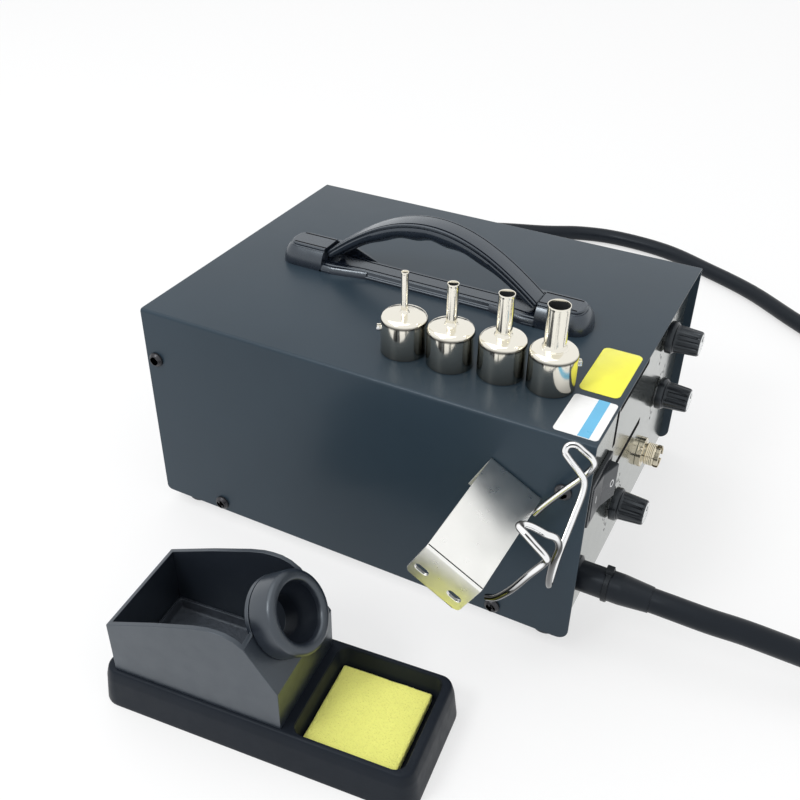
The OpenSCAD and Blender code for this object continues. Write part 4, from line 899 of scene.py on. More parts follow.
SOCKET_PLATING = Plated("socket_plating_finish", "socket_plating", (0.70, 0.64, 0.50), 0.2)
BOOT_RUBBER = Moulded("boot_rubber_finish", "boot_rubber", (0.007, 0.009, 0.013), 0.34, sheen=0.25)
TIE_NYLON = Moulded("tie_nylon_finish", "tie_nylon", (0.005, 0.006, 0.008), 0.34, sheen=0.3)
HOSE_RUBBER = Moulded("hose_rubber_finish", "hose_rubber", (0.007, 0.009, 0.013), 0.36, grain_size=0.0009,
                      grain_depth=0.000008, sheen=0.22)
CORE_IRON = Rolled("core_iron_finish", "core_iron", (0.16, 0.165, 0.17), 0.5, streaks=(1.0, 0.04, 1.0))
WINDING_COPPER = Winding("winding_copper_finish", "winding_copper", (0.62, 0.25, 0.10), 0.28, 0.85,
                         grain_depth=0.00025)
PUMP_PLASTIC = Moulded("pump_plastic_finish", "pump_plastic", (0.24, 0.26, 0.28), 0.42)
PUMP_METAL = Rolled("pump_metal_finish", "pump_metal", (0.5, 0.51, 0.52), 0.36)
DIAPHRAGM = Moulded("diaphragm_rubber_finish", "diaphragm_rubber", (0.03, 0.025, 0.022), 0.55)
BOARD_GREEN = Glossed("board_green_finish", "board_green", (0.03, 0.15, 0.05), 0.35, coat=0.4)
CLEAR_TUBE = Glossed("clear_tube_finish", "clear_tube", (0.62, 0.66, 0.68), 0.25)
HOLDER_CHROME = Plated("holder_chrome_finish", "holder_chrome", (0.93, 0.93, 0.90), 0.3, mottle=0.03,
                       grain_size=0.0005, grain_depth=0.000006)
HOLDER_WIRE = Bright("holder_wire_finish", "holder_chrome", (0.86, 0.865, 0.87), 0.07, mottle=0.02)
NOZZLE_NICKEL = Drawn("nozzle_nickel_finish", "nozzle_nickel", (0.86, 0.83, 0.74), 0.12, grain_depth=0.000025)
# painted shade: a near-black skin inside the nozzles' bores
NOZZLE_BORE_SHADE = Moulded("nozzle_bore_painted_shade", "nozzle_nickel", (0.006, 0.006, 0.006), 0.7)
STAND_PLASTIC = Moulded("stand_plastic_finish", "stand_plastic", (0.014, 0.018, 0.026), 0.38,
                        grain_size=0.0008, grain_depth=0.000008, sheen=0.9, coat=0.3)
# painted shade: a darker, duller copy of the stand's plastic, for the base, the well and the funnel's inside
SHADED_STAND_PLASTIC = Moulded("stand_plastic_painted_shade", "stand_plastic", (0.010, 0.013, 0.019), 0.42,
                       grain_size=0.0008, grain_depth=0.000012, sheen=0.14)
TRAY_PLASTIC = Moulded("tray_plastic_finish", "stand_plastic", (0.045, 0.052, 0.065), 0.5, mottle=0.25,
                       mottle_size=0.004, grain_size=0.0014, grain_depth=0.00012)
FUNNEL_RUBBER = Moulded("funnel_rubber_finish", "funnel_rubber", (0.012, 0.015, 0.022), 0.34,
                        grain_depth=0.000003, sheen=0.9, coat=0.3)
SPONGE_YELLOW = Foam("sponge_yellow_finish", "sponge_yellow", (1.0, 0.99, 0.24), 0.85, mottle=0.04,
                     grain_depth=0.0003)
HANDPIECE_PLASTIC = Moulded("handpiece_plastic_finish", "handpiece_plastic", (0.012, 0.014, 0.019), 0.4)
BARREL_STEEL = Rolled("barrel_steel_finish", "barrel_steel", (0.56, 0.57, 0.58), 0.26, streaks=(1.0, 0.05, 1.0))
HEATER_CERAMIC = Moulded("heater_ceramic_finish", "heater_ceramic", (0.66, 0.62, 0.54), 0.7)


# Geometry Nodes

class GrowingTree(NodeTree):
    """A Geometry Nodes tree built in the script, with named inputs."""

    def __init__(self, name: str) -> None:
        """Starts a tree with a geometry input and output.

        Args:
            name: The tree's name.
        """
        super().__init__(bpy.data.node_groups.new(name, "GeometryNodeTree"))
        self.tree.interface.new_socket("Geometry", in_out="INPUT", socket_type="NodeSocketGeometry")
        self.tree.interface.new_socket("Geometry", in_out="OUTPUT", socket_type="NodeSocketGeometry")
        self.start = self.tree.nodes.new("NodeGroupInput")
        self.end = self.tree.nodes.new("NodeGroupOutput")
        self.identifiers: dict[str, str] = {}

    def take(self, name: str, kind: str) -> bpy.types.NodeSocket:
        """Adds a named input of a socket type and gives its socket.

        Args:
            name: The input's name.
            kind: Its socket type.

        Returns:
            Its socket inside the tree.
        """
        item = self.tree.interface.new_socket(name, in_out="INPUT", socket_type=kind)
        self.identifiers[name] = item.identifier
        return self.start.outputs[name]

    def close(self, geometry: bpy.types.NodeSocket) -> None:
        """Ends the tree with real geometry in the piece's own material.

        Args:
            geometry: What the tree made.
        """
        real = self.add("GeometryNodeRealizeInstances", {"Geometry": geometry})
        dressed = self.add("GeometryNodeSetMaterial", {"Geometry": real.outputs[0],
                                                       "Material": self.take("Finish", "NodeSocketMaterial")})
        self.tree.links.new(dressed.outputs[0], self.end.inputs[0])

    def grow(self, piece: bpy.types.Object, finish: Finish, values: dict[str, object],
             smooth: float = 35.0) -> bpy.types.Object:
        """Runs the tree on a piece and keeps the result as a plain mesh.

        Args:
            piece: The object that carries the input geometry.
            finish: The result's finish.
            values: The named inputs.
            smooth: Largest angle in degrees at which two faces shade as one.

        Returns:
            The grown piece.
        """
        modifier = piece.modifiers.new("grow", "NODES")
        modifier.node_group = self.tree
        for name, value in {**values, "Finish": finish.material()}.items():
            modifier[self.identifiers[name]] = value
        done = bake(piece)
        smoothed(done.data, smooth)
        return done


def tube_tree() -> GrowingTree:
    """A tree that sweeps a round section along a line of points.

    Returns:
        The tree, with the inputs Sides and Radius.
    """
    tree = GrowingTree("swept_tube")
    line = tree.add("GeometryNodeMeshToCurve", {"Mesh": tree.start.outputs[0]})
    section = tree.add("GeometryNodeCurvePrimitiveCircle", {"Resolution": tree.take("Sides", "NodeSocketInt"),
                                                            "Radius": tree.take("Radius", "NodeSocketFloat")})
    swept = tree.add("GeometryNodeCurveToMesh", {"Curve": line.outputs[0],
                                                 "Profile Curve": section.outputs["Curve"], "Fill Caps": True})
    tree.close(swept.outputs[0])
    return tree


def scale_tree(every: float = 4.0, short: float = 0.6) -> GrowingTree:
    """A tree that draws the tick marks of a dial on an arc: some at full length, the others a share of it.

    Args:
        every: One tick in so many is at full length.
        short: Length of the others as a share.

    Returns:
        The tree, with the inputs Count, Radius, Sweep and Tick.
    """
    tree = GrowingTree("dial_ticks")
    count = tree.take("Count", "NodeSocketInt")
    radius = tree.take("Radius", "NodeSocketFloat")
    sweep = tree.take("Sweep", "NodeSocketFloat")
    size = tree.take("Tick", "NodeSocketVector")
    points = tree.add("GeometryNodePoints", {"Count": count})
    index = tree.add("GeometryNodeInputIndex").outputs[0]
    share = tree.math("DIVIDE", index, tree.math("SUBTRACT", count, 1.0))
    angle = tree.math("MULTIPLY", tree.math("SUBTRACT", share, 0.5), sweep)
    spot = tree.add("ShaderNodeCombineXYZ", {0: tree.math("SINE", angle), 1: tree.math("COSINE", angle)})
    out = tree.add("ShaderNodeVectorMath", {0: spot.outputs[0], "Scale": radius}, operation="SCALE")
    moved = tree.add("GeometryNodeSetPosition", {"Geometry": points.outputs[0], "Position": out.outputs[0]})
    turn = tree.add("ShaderNodeCombineXYZ", {2: tree.math("MULTIPLY", angle, -1.0)})
    step = tree.math("MODULO", index, every)
    major = tree.add("FunctionNodeCompare", {0: step, 1: 0.5}, data_type="FLOAT", operation="LESS_THAN")
    length = tree.add("ShaderNodeMapRange", {"Value": major.outputs[0], "To Min": short, "To Max": 1.0})
    sized = tree.add("ShaderNodeCombineXYZ", {0: 1.0, 1: length.outputs[0], 2: 1.0})
    tick = tree.add("GeometryNodeMeshCube", {"Size": size})
    placed = tree.add("GeometryNodeInstanceOnPoints", {
        "Points": moved.outputs[0], "Instance": tick.outputs[0], "Rotation": turn.outputs[0],
        "Scale": sized.outputs[0],
    })
    tree.close(placed.outputs[0])
    return tree


def polyline(name: str, points: Sequence[Vector]) -> bpy.types.Object:
    """A mesh of edges through points in metres, as input to a tree.

    Args:
        name: The object's name.
        points: The points in order.

    Returns:
        The object.
    """
    mesh = bpy.data.meshes.new(name)
    mesh.from_pydata([tuple(p) for p in points], [(i, i + 1) for i in range(len(points) - 1)], [])
    return link(name, mesh)


# Studio

@dataclass
class Studio:
    """The camera, the pale floor and the soft light."""

    azimuth: float = -62.939
    elevation: float = 34.927
    roll: float = 0.867
    lens: float = 44.18
    sensor: float = 36.0
    clip: Point = (0.01, 50.0)
    eye: Place = (-422.776, -196.906, 378.356)
    floor_size: float = 40.0
    floor_colour: Colour = (0.95, 0.955, 0.96)
    floor_roughness: float = 0.6
    floor_specular: float = 0.15
    floor_glow: float = 0.6
    world_light: float = 0.82
    lamp_light: float = 6.6
    ceiling_size: float = 1.7
    ceiling_eye: Place = (-0.15, 0.45, 1.7)
    key_size: float = 0.45
    key_eye: Place = (-1.05, 0.45, 1.3)

    def camera(self) -> None:
        """The camera at the photograph's angle."""
        turn, lift, roll = (math.radians(a) for a in (self.azimuth, self.elevation, self.roll))
        back = Vector((math.sin(turn) * math.cos(lift), -math.cos(turn) * math.cos(lift), math.sin(lift)))
        right = Vector((0, 0, 1)).cross(back).normalized()
        up = back.cross(right)
        rolled_right = math.cos(roll) * right + math.sin(roll) * up
        rolled_up = -math.sin(roll) * right + math.cos(roll) * up
        data = bpy.data.cameras.new("camera")
        data.lens, data.sensor_width = self.lens, self.sensor
        data.clip_start, data.clip_end = self.clip
        camera = link("camera", data)
        axes = Matrix((rolled_right, rolled_up, back)).transposed().to_4x4()
        camera.matrix_world = Matrix.Translation(mm(*self.eye)) @ axes
        bpy.context.scene.camera = camera

    def floor(self) -> None:
        """The pale floor that keeps the shadows."""
        bm = bmesh.new()
        bmesh.ops.create_grid(bm, x_segments=2, y_segments=2, size=self.floor_size / 2)
        mesh = bpy.data.meshes.new("floor")
        bm.to_mesh(mesh)
        bm.free()
        shading = Shading("pale_floor")
        tone = shading.noise(0.4, 2)
        shading.join(shading.mix(tone, shade(self.floor_colour, 0.99), shade(self.floor_colour, 1.0)), "Base Color")
        shading.set(Roughness=self.floor_roughness, Specular_IOR_Level=self.floor_specular)
        glow = shading.add("ShaderNodeEmission", {"Color": (1.0, 1.0, 1.0, 1.0), "Strength": 1.0})
        blend = shading.add("ShaderNodeMixShader", {0: shading.math("MULTIPLY", shading.seen(), self.floor_glow),
                                                    1: shading.shader.outputs["BSDF"], 2: glow.outputs[0]})
        shading.tree.links.new(blend.outputs[0], shading.output.inputs["Surface"])
        mesh.materials.append(shading.material)
        link("floor", mesh)

    def light(self) -> None:
        """A plain pale room, white where it is seen or reflected, a large lamp overhead and a small one behind."""
        world = bpy.data.worlds.new("room")
        world.use_nodes = True
        bpy.context.scene.world = world
        room = NodeTree(world.node_tree)
        background = room.tree.nodes["Background"]
        background.inputs["Color"].default_value = (1.0, 1.0, 1.0, 1.0)
        level = room.add("ShaderNodeMapRange", {"Value": room.seen(), "To Min": self.world_light, "To Max": 1.0})
        room.tree.links.new(level.outputs[0], background.inputs["Strength"])
        for name, size, eye in (("ceiling", self.ceiling_size, self.ceiling_eye),
                                ("key", self.key_size, self.key_eye)):
            lamp = bpy.data.lights.new(name, "AREA")
            lamp.shape, lamp.size, lamp.energy = "DISK", size, self.lamp_light
            link(name, lamp).matrix_world = on_axis(Vector(eye), Vector(eye), Vector((1, 0, 0)))

    def build(self) -> None:
        """Sets the view, the floor and the light."""
        bpy.context.scene.view_settings.view_transform = "Standard"
        self.camera()
        self.floor()
        self.light()


# Hose and outlet

@dataclass
class AirHose:
    """The rubber hose from the boot over the bench to the handpiece."""

    diameter: float = 12.0
    steps: int = 6
    sides: int = 24
    route: list[Place] = field(default_factory=lambda: [
        (-77, -155, 37), (-77, -165, 36.9), (-75.6, -182, 35.3), (-72, -199, 32.5),
        (-67, -223, 27), (-59, -248, 18.5), (-46, -272, 10), (-22, -298, 6.3),
        (15, -321, 6.3), (62, -334, 6.3), (112, -332, 6.3), (160, -314, 6.3),
        (204, -280, 6.3), (244, -228, 6.3), (285, -171, 6.3), (317, -130, 6.3),
        (339, -89, 6.3), (356, -51, 6.3), (361, -8, 6.3), (355, 24, 6.3),
        (341, 53, 6.3), (326, 92, 6.3), (304, 133, 6.3), (279, 165, 6.3),
        (250, 189, 6.4), (224, 205, 6.9), (200, 210, 8.4), (177, 205, 11),
        (158, 193, 14), (146, 177, 16.8), (141, 161.5, 18.6), (140, 150, 19),
        (140, 145, 19), (140, 140, 19),
    ])

    def build(self, tube: GrowingTree) -> None:
        """Args:
            tube: The tree that sweeps a round section.
        """
        line = curve_through([mm(*p) for p in self.route], self.steps)
        piece = tube.grow(polyline("air_hose", line), HOSE_RUBBER,
                          {"Sides": self.sides, "Radius": self.diameter / 2 * MM}, 60.0)
        settle(piece, body_of("hose"), HOSE_RUBBER, "hose")


@dataclass
class HoseOutlet:
    """The moulded boot where the hose leaves the panel, with the tie round it."""

    solids: dict[str, tuple[Finish, float, int]] = field(default_factory=lambda: {
        "hose_boot": (BOOT_RUBBER, 0.0, 0), "hose_tie": (TIE_NYLON, 0.35, 2),
    })

    def build(self) -> None:
        """Keeps the boot and rounds the tie."""
        dress_solids(self.solids)


# Housing

@dataclass
class Housing:
    """Cover, base sheet, panels, inlet, feet and their screws."""

    solids: dict[str, tuple[Finish, float, int]] = field(default_factory=lambda: {
        "cover_hood": (COVER_PAINT, 0.35, 2), "front_overlay": (OVERLAY, 0.0, 0),
        "front_panel": (PANEL_SHEET, 0.0, 0), "rear_panel": (COVER_PAINT, 0.0, 0),
        "base_pan": (ZINC, 0.2, 1), "feet": (FOOT_RUBBER, 0.7, 3),
        "foot_screws": (ZINC_SCREWS, 0.0, 0), "cover_screws": (BLACK_SCREWS, 0.25, 2),
        "mains_inlet": (SWITCH_BLACK, 0.3, 2),
    })

    def build(self) -> None:
        """Rounds the edges of some solids and keeps the others."""
        dress_solids(self.solids)


def inner_parts() -> None:
    """Finishes for what housing, socket and handpiece hold."""
    for node, finish in {
        "potentiometers": POT_METAL, "transformer_core": CORE_IRON, "transformer_coil": WINDING_COPPER,
        "transformer_screws": ZINC_SCREWS, "pump_case": PUMP_PLASTIC, "pump_coil": WINDING_COPPER,
        "pump_arm": PUMP_METAL, "pump_diaphragm": DIAPHRAGM, "pump_mounts": FOOT_RUBBER,
        "control_board": BOARD_GREEN, "board_standoffs": ZINC_SCREWS, "air_tube": CLEAR_TUBE,
        "handle_screws": ZINC_SCREWS, "upper_knob_shaft": CAP_SILVER, "middle_knob_shaft": CAP_SILVER,
        "lower_knob_shaft": CAP_SILVER, "handpiece_heater": HEATER_CERAMIC, "socket_insert": SWITCH_BLACK,
    }.items():
        keep(node, finish)


# Carry handle

@dataclass
class CarryHandle:
    """The arched grip, its end blocks and the ridged strip between them."""

    drop: float = 31.1
    flare: float = 3.35
    reach: float = 60.0
    thick_middle: float = 11.0
    thick_end: float = 7.5
    wave: float = 0.8
    wave_length: float = 22.0
    groove: float = 0.95
    longer: float = 3.4
    ramp: float = 20.0
    block_inner: float = 56.0
    block_width: float = 24.0
    block_top: float = 15.0
    squareness: float = 0.72
    slot_reach: float = 6.0
    cheek_height: float = 9.6
    cheek_thick: Place = (3.6, 3.4, 1.6)
    # painted shade: width, inset and shortening of the black strips that stand for the shade in the blocks' grooves
    painted_groove_width: float = 0.95
    painted_groove_inset: float = 1.9
    painted_groove_shorter: float = 7.5
    strip_width: float = 16.0
    strip_height: float = 4.0
    strip_flare: float = 17.0
    stations: int = 110

    def __post_init__(self) -> None:
        """Reads the solids that the handle stands for."""
        self.grip = Span.of("handle_grip")
        self.base = Span.of("handle_base")
        self.roof = self.base.low.z
        self.middle = self.base.centre.x

    def spot(self, x: float, y: float, z: float) -> Vector:
        """A point measured from the handle's middle line and the cover."""
        return Vector((self.middle + x, y, self.roof + z))

    def top(self, y: float) -> float:
        """Height of the grip's top above the cover."""
        t = y / self.reach
        return self.grip.high.z - self.roof - self.drop * t * t + self.flare * t ** 4

    def under(self, y: float) -> float:
        """Height of the grip's wavy underside above the cover.

        Args:
            y: Distance from the middle of the grip.

        Returns:
            The height in millimetres.
        """
        share = abs(y) / self.grip.high.y
        wave = self.wave * (1 - share) * math.cos(y * 2 * math.pi / self.wave_length)
        return self.top(y) - (self.thick_middle + (self.thick_end - self.thick_middle) * share ** 2) + wave

    def section(self) -> list[tuple[float, float, float]]:
        """Half of the grip's section as distance from the middle, drop below the top and share of the thickness.

        Returns:
            The points from the top's middle round to the underside's middle.
        """
        half, dip = self.grip.size.x / 2, self.groove
        return [
            (0.0, 0.0, 0.0), (half * 0.5, 0.05, 0.0), (half - 2.35, 0.15, 0.0), (half - 2.25, dip, 0.0),
            (half - 1.45, dip, 0.0), (half - 1.3, 0.3, 0.0), (half - 0.75, 0.38, 0.0), (half - 0.45, 0.65, 0.0),
            (half - 0.42, 1.2, 0.0), (half - 1.1, 1.3, 0.0), (half - 1.1, 2.1, 0.0), (half - 0.4, 2.25, 0.0),
            (half - 0.05, 2.7, 0.03), (half, 2.8, 0.18), (half - 0.3, 2.8, 0.36), (half - 1.0, 2.6, 0.54),
            (half - 2.1, 1.9, 0.72), (half - 3.6, 1.0, 0.88), (half - 5.4, 0.2, 0.98), (0.0, 0.0, 1.0),
        ]

    def arch(self) -> bpy.types.Object:
        """Lofts the grip along its arch.

        Returns:
            The grip.
        """
        half = self.section()
        ring = half + [(-x, drop, share) for x, drop, share in half[-2:0:-1]]
        rings = []
        for i in range(self.stations + 1):
            y = self.grip.low.y + self.grip.size.y * i / self.stations
            top, thick = self.roof + self.top(y), self.top(y) - self.under(y)
            slope = self.top(y + 0.5) - self.top(y - 0.5)
            lean = Vector((0, -slope, 1)).normalized()
            rings.append([Vector((self.middle + x, y, top)) - lean * (drop * (1 - share) + thick * share) * lean.z
                          for x, drop, share in ring])
        return make("grip_arch", loft(rings), HANDLE_PLASTIC, 28)

    def outline(self, half: float, side: int) -> list[Point]:
        """Plan of an end block at a half width: square at its inner end and round at its outer end.

        Args:
            half: Half of the block's width.
            side: 1 for the rear end and -1 for the front end.

        Returns:
            The plan's points.
        """
        outer = (self.base.high.y + self.longer) * side
        centre = outer - side * self.block_width / 2
        inner = side * (self.block_inner + self.slot_reach)
        arc = []
        for a in range(0, 181, 9):
            c, s = math.cos(math.radians(a)), math.sin(math.radians(a))
            across, along = half * abs(c) ** self.squareness, side * half * s ** self.squareness
            arc.append((math.copysign(across, c), centre + along))
        return [(half, inner), *arc, (-half, inner)]

    def block(self, side: int) -> bmesh.types.BMesh:
        """One end block with its grooves and its round shoulder.

        Args:
            side: 1 for the rear end and -1 for the front end.

        Returns:
            The block's mesh.
        """
        wide, top = self.block_width / 2, self.base.high.z - self.roof
        narrow = self.block_top / 2
        levels = [
            (wide, 0.0), (wide, 1.2), (wide - 0.25, 3.4), (wide - 0.9, 5.8), (wide - 2.0, 7.9),
            (wide - 3.0, 9.3), (wide - 3.5, 9.9), (wide - 4.1, 9.75), (wide - 4.6, 10.1), (wide - 4.5, 10.6),
            (narrow + 0.1, top - 0.6), (narrow - 0.15, top - 0.2), (narrow - 0.6, top), (narrow - 0.8, top),
        ]
        return loft([[self.spot(x, y, z) for x, y in self.outline(half, side)] for half, z in levels])

    def cheeks(self, side: int) -> bmesh.types.BMesh:
        """Two cheeks between block and strip: the right one runs down in a ramp, the left one is low throughout.

        Args:
            side: 1 for the rear end and -1 for the front end.

        Returns:
            The mesh of both cheeks.
        """
        wide, low = self.block_width / 2, self.strip_height - 0.4
        parts = []
        for hand, tall in ((1, self.cheek_height), (-1, low)):
            stops = [(self.block_inner + self.slot_reach + 1, wide, tall), (self.block_inner - 1, wide, tall),
                     (self.block_inner - self.ramp, self.strip_width / 2, low)]
            rings = []
            for (along, outer, high), thick in zip(stops, self.cheek_thick):
                y, inner = along * side, outer - thick
                section = [(inner, 0.0), (outer, 0.0), (outer - 0.2, high * 0.5), (outer - 0.9, high - 0.3),
                           (outer - 1.3, high), (inner, high)]
                rings.append([self.spot(hand * x, y, z) for x, z in section])
            parts.append(loft(rings))
        return gather(*parts)

    def strip(self) -> bmesh.types.BMesh:
        """The strip between the blocks, flaring to their width at its ends.

        Returns:
            The strip's mesh.
        """
        high = self.strip_height
        profile = [(8.0, 0.0), (8.0, 1.1), (7.6, 1.5), (6.9, 1.6), (6.5, 2.0), (6.1, 3.6), (5.7, high),
                   (4.6, high), (4.5, high - 0.9), (3.7, high - 0.9), (3.6, high)]
        inner = self.block_inner
        reach = inner + self.slot_reach + 1
        stops = [-reach, -inner, -inner + self.strip_flare, inner - self.strip_flare, inner, reach]
        rings = []
        for y in stops:
            flared = abs(y) > inner - self.strip_flare + 0.1
            scale = self.block_width / self.strip_width if flared else 1.0
            half = [(x * scale, z) for x, z in profile]
            rings.append([self.spot(x, y, z) for x, z in half] + [self.spot(-x, y, z) for x, z in reversed(half)])
        return loft(rings)

    def build(self) -> None:
        """Lofts grip, blocks and strip."""
        settle(self.arch(), body_of("handle_grip"), HANDLE_PLASTIC, "handle_grip")
        # painted shade: black strips along the tops of the blocks where grooves lie
        line, start = self.block_top / 2 - self.painted_groove_inset, self.block_inner + self.slot_reach
        length = self.base.high.y + self.longer - start - self.painted_groove_shorter
        lines = [block((self.painted_groove_width, length, 0.1),
                       (self.middle + hand * line, side * (start + length / 2), self.base.high.z), Matrix.Identity(4))
                 for side in (1, -1) for hand in (1, -1)]
        dress("grip_blocks", gather(self.block(1), self.block(-1)), HANDLE_PLASTIC, "handle_base", "handle_base",
              smooth=32)
        dress("grip_block_painted_grooves", gather(*lines), PRINT_AND_SHADE_BLACK, "handle_base")
        dress("grip_strip", gather(self.strip(), self.cheeks(1), self.cheeks(-1)), HANDLE_PLASTIC, "handle_base",
              smooth=28)


# Labels and prints

@dataclass
class RoofLabels:
    """The two blank labels on the cover."""

    band_share: float = 0.26
    band_at: float = 0.32
    film: float = 0.05

    def build(self) -> None:
        """Lays the two films and a blue band on the white one."""
        for node, finish, radius in (("yellow_label", LABEL_YELLOW, 3.0), ("white_label", LABEL_WHITE, 1.8)):
            span = Span.of(node)
            centre = (span.centre.x, span.centre.y)
            outline = rectangle(span.size.x, span.size.y, radius, 6, centre)
            inset = rectangle(span.size.x - 0.3, span.size.y - 0.3, radius - 0.15, 6, centre)
            rings = [(outline, span.low.z), (outline, span.high.z - 0.1), (inset, span.high.z)]
            form = loft([[Vector((x, y, z)) for x, y in ring] for ring, z in rings])
            dress(f"{node}_film", form, finish, node, node)
        white = Span.of("white_label")
        band = white.size.y * self.band_share
        middle = white.low.y + white.size.y * self.band_at
        outline = rectangle(white.size.x - 0.3, band, 0.05, 2, (white.centre.x, middle))
        dress("white_label_band", slab(outline, white.high.z, white.high.z + self.film, Matrix.Identity(4)),
              PRINT_BLUE, "white_label")


class Control(Enum):
    """The three controls on the panel."""

    UPPER = "upper_knob"
    MIDDLE = "middle_knob"
    LOWER = "lower_knob"


@dataclass
class ControlKnob:
    """A fluted knob with a collar and a silver cap."""

    control: Control
    flutes: int = 14
    per_flute: int = 8
    flute_depth: float = 0.75
    flute_round: float = 0.7
    collar_height: float = 5.0
    grip_radius: float = 7.6
    front_radius: float = 6.8
    cap_radius: float = 5.7
    pointer: Point = (0.9, 3.4)

    def __post_init__(self) -> None:
        """Finds the knob's axis on the panel."""
        self.node = self.control.value
        span = Span.of(self.node)
        self.collar_radius = span.size.x / 2
        self.reach = span.size.y + 0.6
        panel = Span.of("front_overlay").low.y
        self.place = on_axis(mm(span.centre.x, panel, span.centre.z), Vector((0, -1, 0)), Vector((1, 0, 0)))

    def ring(self, radius: float, height: float, depth: float) -> list[Vector]:
        """A ring of the grip whose flutes have a depth.

        Args:
            radius: Radius between the flutes.
            height: Height above the panel.
            depth: How deep the flutes are.

        Returns:
            The ring's points, in millimetres.
        """
        count = self.flutes * self.per_flute
        points = []
        for i in range(count):
            angle = 2 * math.pi * i / count
            hollow = max(0.0, math.cos(self.flutes * angle)) ** self.flute_round
            r = radius - depth * hollow
            points.append(self.place @ mm(r * math.cos(angle), r * math.sin(angle), height) / MM)
        return points

    def build(self) -> None:
        """Lofts the knob, turns its cap and sets the pointer."""
        collar, foot, reach = self.collar_radius, self.collar_height, self.reach
        grip, front, dip = self.grip_radius, self.front_radius, self.flute_depth
        levels = [
            (collar - 0.5, 0.6, 0), (collar - 0.05, 0.9, 0), (collar, 1.4, 0), (collar, foot - 1.3, 0),
            (collar - 0.35, foot - 0.6, 0), (collar - 1.0, foot - 0.25, 0), (grip + 0.5, foot, 0),
            (grip + 0.12, foot + 0.3, 0), (grip, foot + 0.9, 0), (grip - 0.02, foot + 1.6, dip),
            (front + 0.1, reach - 1.7, dip),
            (front, reach - 0.9, dip * 0.5), (front - 0.25, reach - 0.3, 0.1), (front - 0.7, reach, 0),
            (self.cap_radius + 0.1, reach, 0), (self.cap_radius + 0.1, reach - 1.0, 0),
        ]
        dress(f"{self.node}_grip", loft([self.ring(*level) for level in levels]), KNOB_BLACK, self.node, self.node,
              smooth=30)
        radius, face = self.cap_radius, reach - 0.1
        disc = [(0, reach - 1.1), (radius, reach - 1.1), (radius, face), (radius - 0.12, face + 0.3),
                (radius - 0.45, face + 0.45), (radius * 0.5, face + 0.32), (0, face + 0.28)]
        dress(f"{self.node}_disc", lathe(disc, self.place, 72, closed=False), CAP_SILVER, self.node,
              f"{self.node}_cap", smooth=30)
        pointer = rectangle(*self.pointer, 0.4, 4, (0, radius - 2.4))
        dress(f"{self.node}_pointer", slab(pointer, face + 0.2, face + 0.48, self.place), PRINT_AND_SHADE_BLACK, self.node)


@dataclass
class PanelPrint:
    """The printed lines, dial marks and numbers on the overlay."""

    film: float = 0.06
    bars: list[tuple[Point, Point]] = field(default_factory=lambda: [
        ((-40.2, 100.5), (4.0, 21.0)), ((-12.5, 110.0), (49.0, 4.0)), ((-8.5, 70.0), (47.0, 4.2)),
    ])
    dial_radius: float = 12.2
    sweep: float = 300.0
    number_radius: float = 15.4
    number_size: float = 2.6
    numbers: int = 6
    tick_count: int = 21
    tick: Point = (0.45, 1.9)

    def __post_init__(self) -> None:
        """Finds the panel's face."""
        self.face = Span.of("front_overlay").low.y

    def on_panel(self, x: float, z: float) -> Matrix:
        """A place on the panel with x to the right, y up and z out of it."""
        return on_axis(mm(x, self.face, z), Vector((0, -1, 0)), Vector((1, 0, 0)))

    def lines(self) -> None:
        """The black rules that divide the panel."""
        parts = [slab(rectangle(*size, 0.3, 3), -0.02, self.film, self.on_panel(*at)) for at, size in self.bars]
        settle(make("panel_rules", gather(*parts), PRINT_AND_SHADE_BLACK), "station", PRINT_AND_SHADE_BLACK)

    def dial(self, control: Control, ticks: GrowingTree) -> None:
        """Tick marks and plain numbers round a knob.

        Args:
            control: Which knob.
            ticks: The tree that draws the tick marks.
        """
        centre = Span.of(control.value).centre
        place = self.on_panel(centre.x, centre.z)
        marks = ticks.grow(polyline(f"{control.value}_scale", [Vector((0, 0, 0)), mm(1, 0, 0)]), PRINT_AND_SHADE_BLACK, {
            "Count": self.tick_count, "Radius": self.dial_radius * MM, "Sweep": math.radians(self.sweep),
            "Tick": mm(*self.tick, self.film * 2),
        })
        marks.data.transform(place)
        settle(marks, "station", PRINT_AND_SHADE_BLACK)
        made = []
        for i in range(self.numbers):
            angle = math.radians(-self.sweep / 2 + self.sweep * i / (self.numbers - 1))
            curve = bpy.data.curves.new("number", "FONT")
            curve.body, curve.size = str(i), self.number_size * MM
            curve.align_x, curve.align_y, curve.extrude = "CENTER", "CENTER", self.film * MM / 2
            holder = link("number", curve)
            holder.matrix_world = place @ Matrix.Translation(mm(
                self.number_radius * math.sin(angle), self.number_radius * math.cos(angle), self.film / 2))
            made.append(bake(holder))
        bm = bmesh.new()
        for number in made:
            bm.from_mesh(number.data)
            bpy.data.objects.remove(number)
        settle(make(f"{control.value}_numbers", bm, PRINT_AND_SHADE_BLACK), "station", PRINT_AND_SHADE_BLACK)

    def build(self, ticks: GrowingTree) -> None:
        """Prints the rules and the three dials.

        Args:
            ticks: The tree that draws the tick marks.
        """
        self.lines()
        for control in Control:
            self.dial(control, ticks)


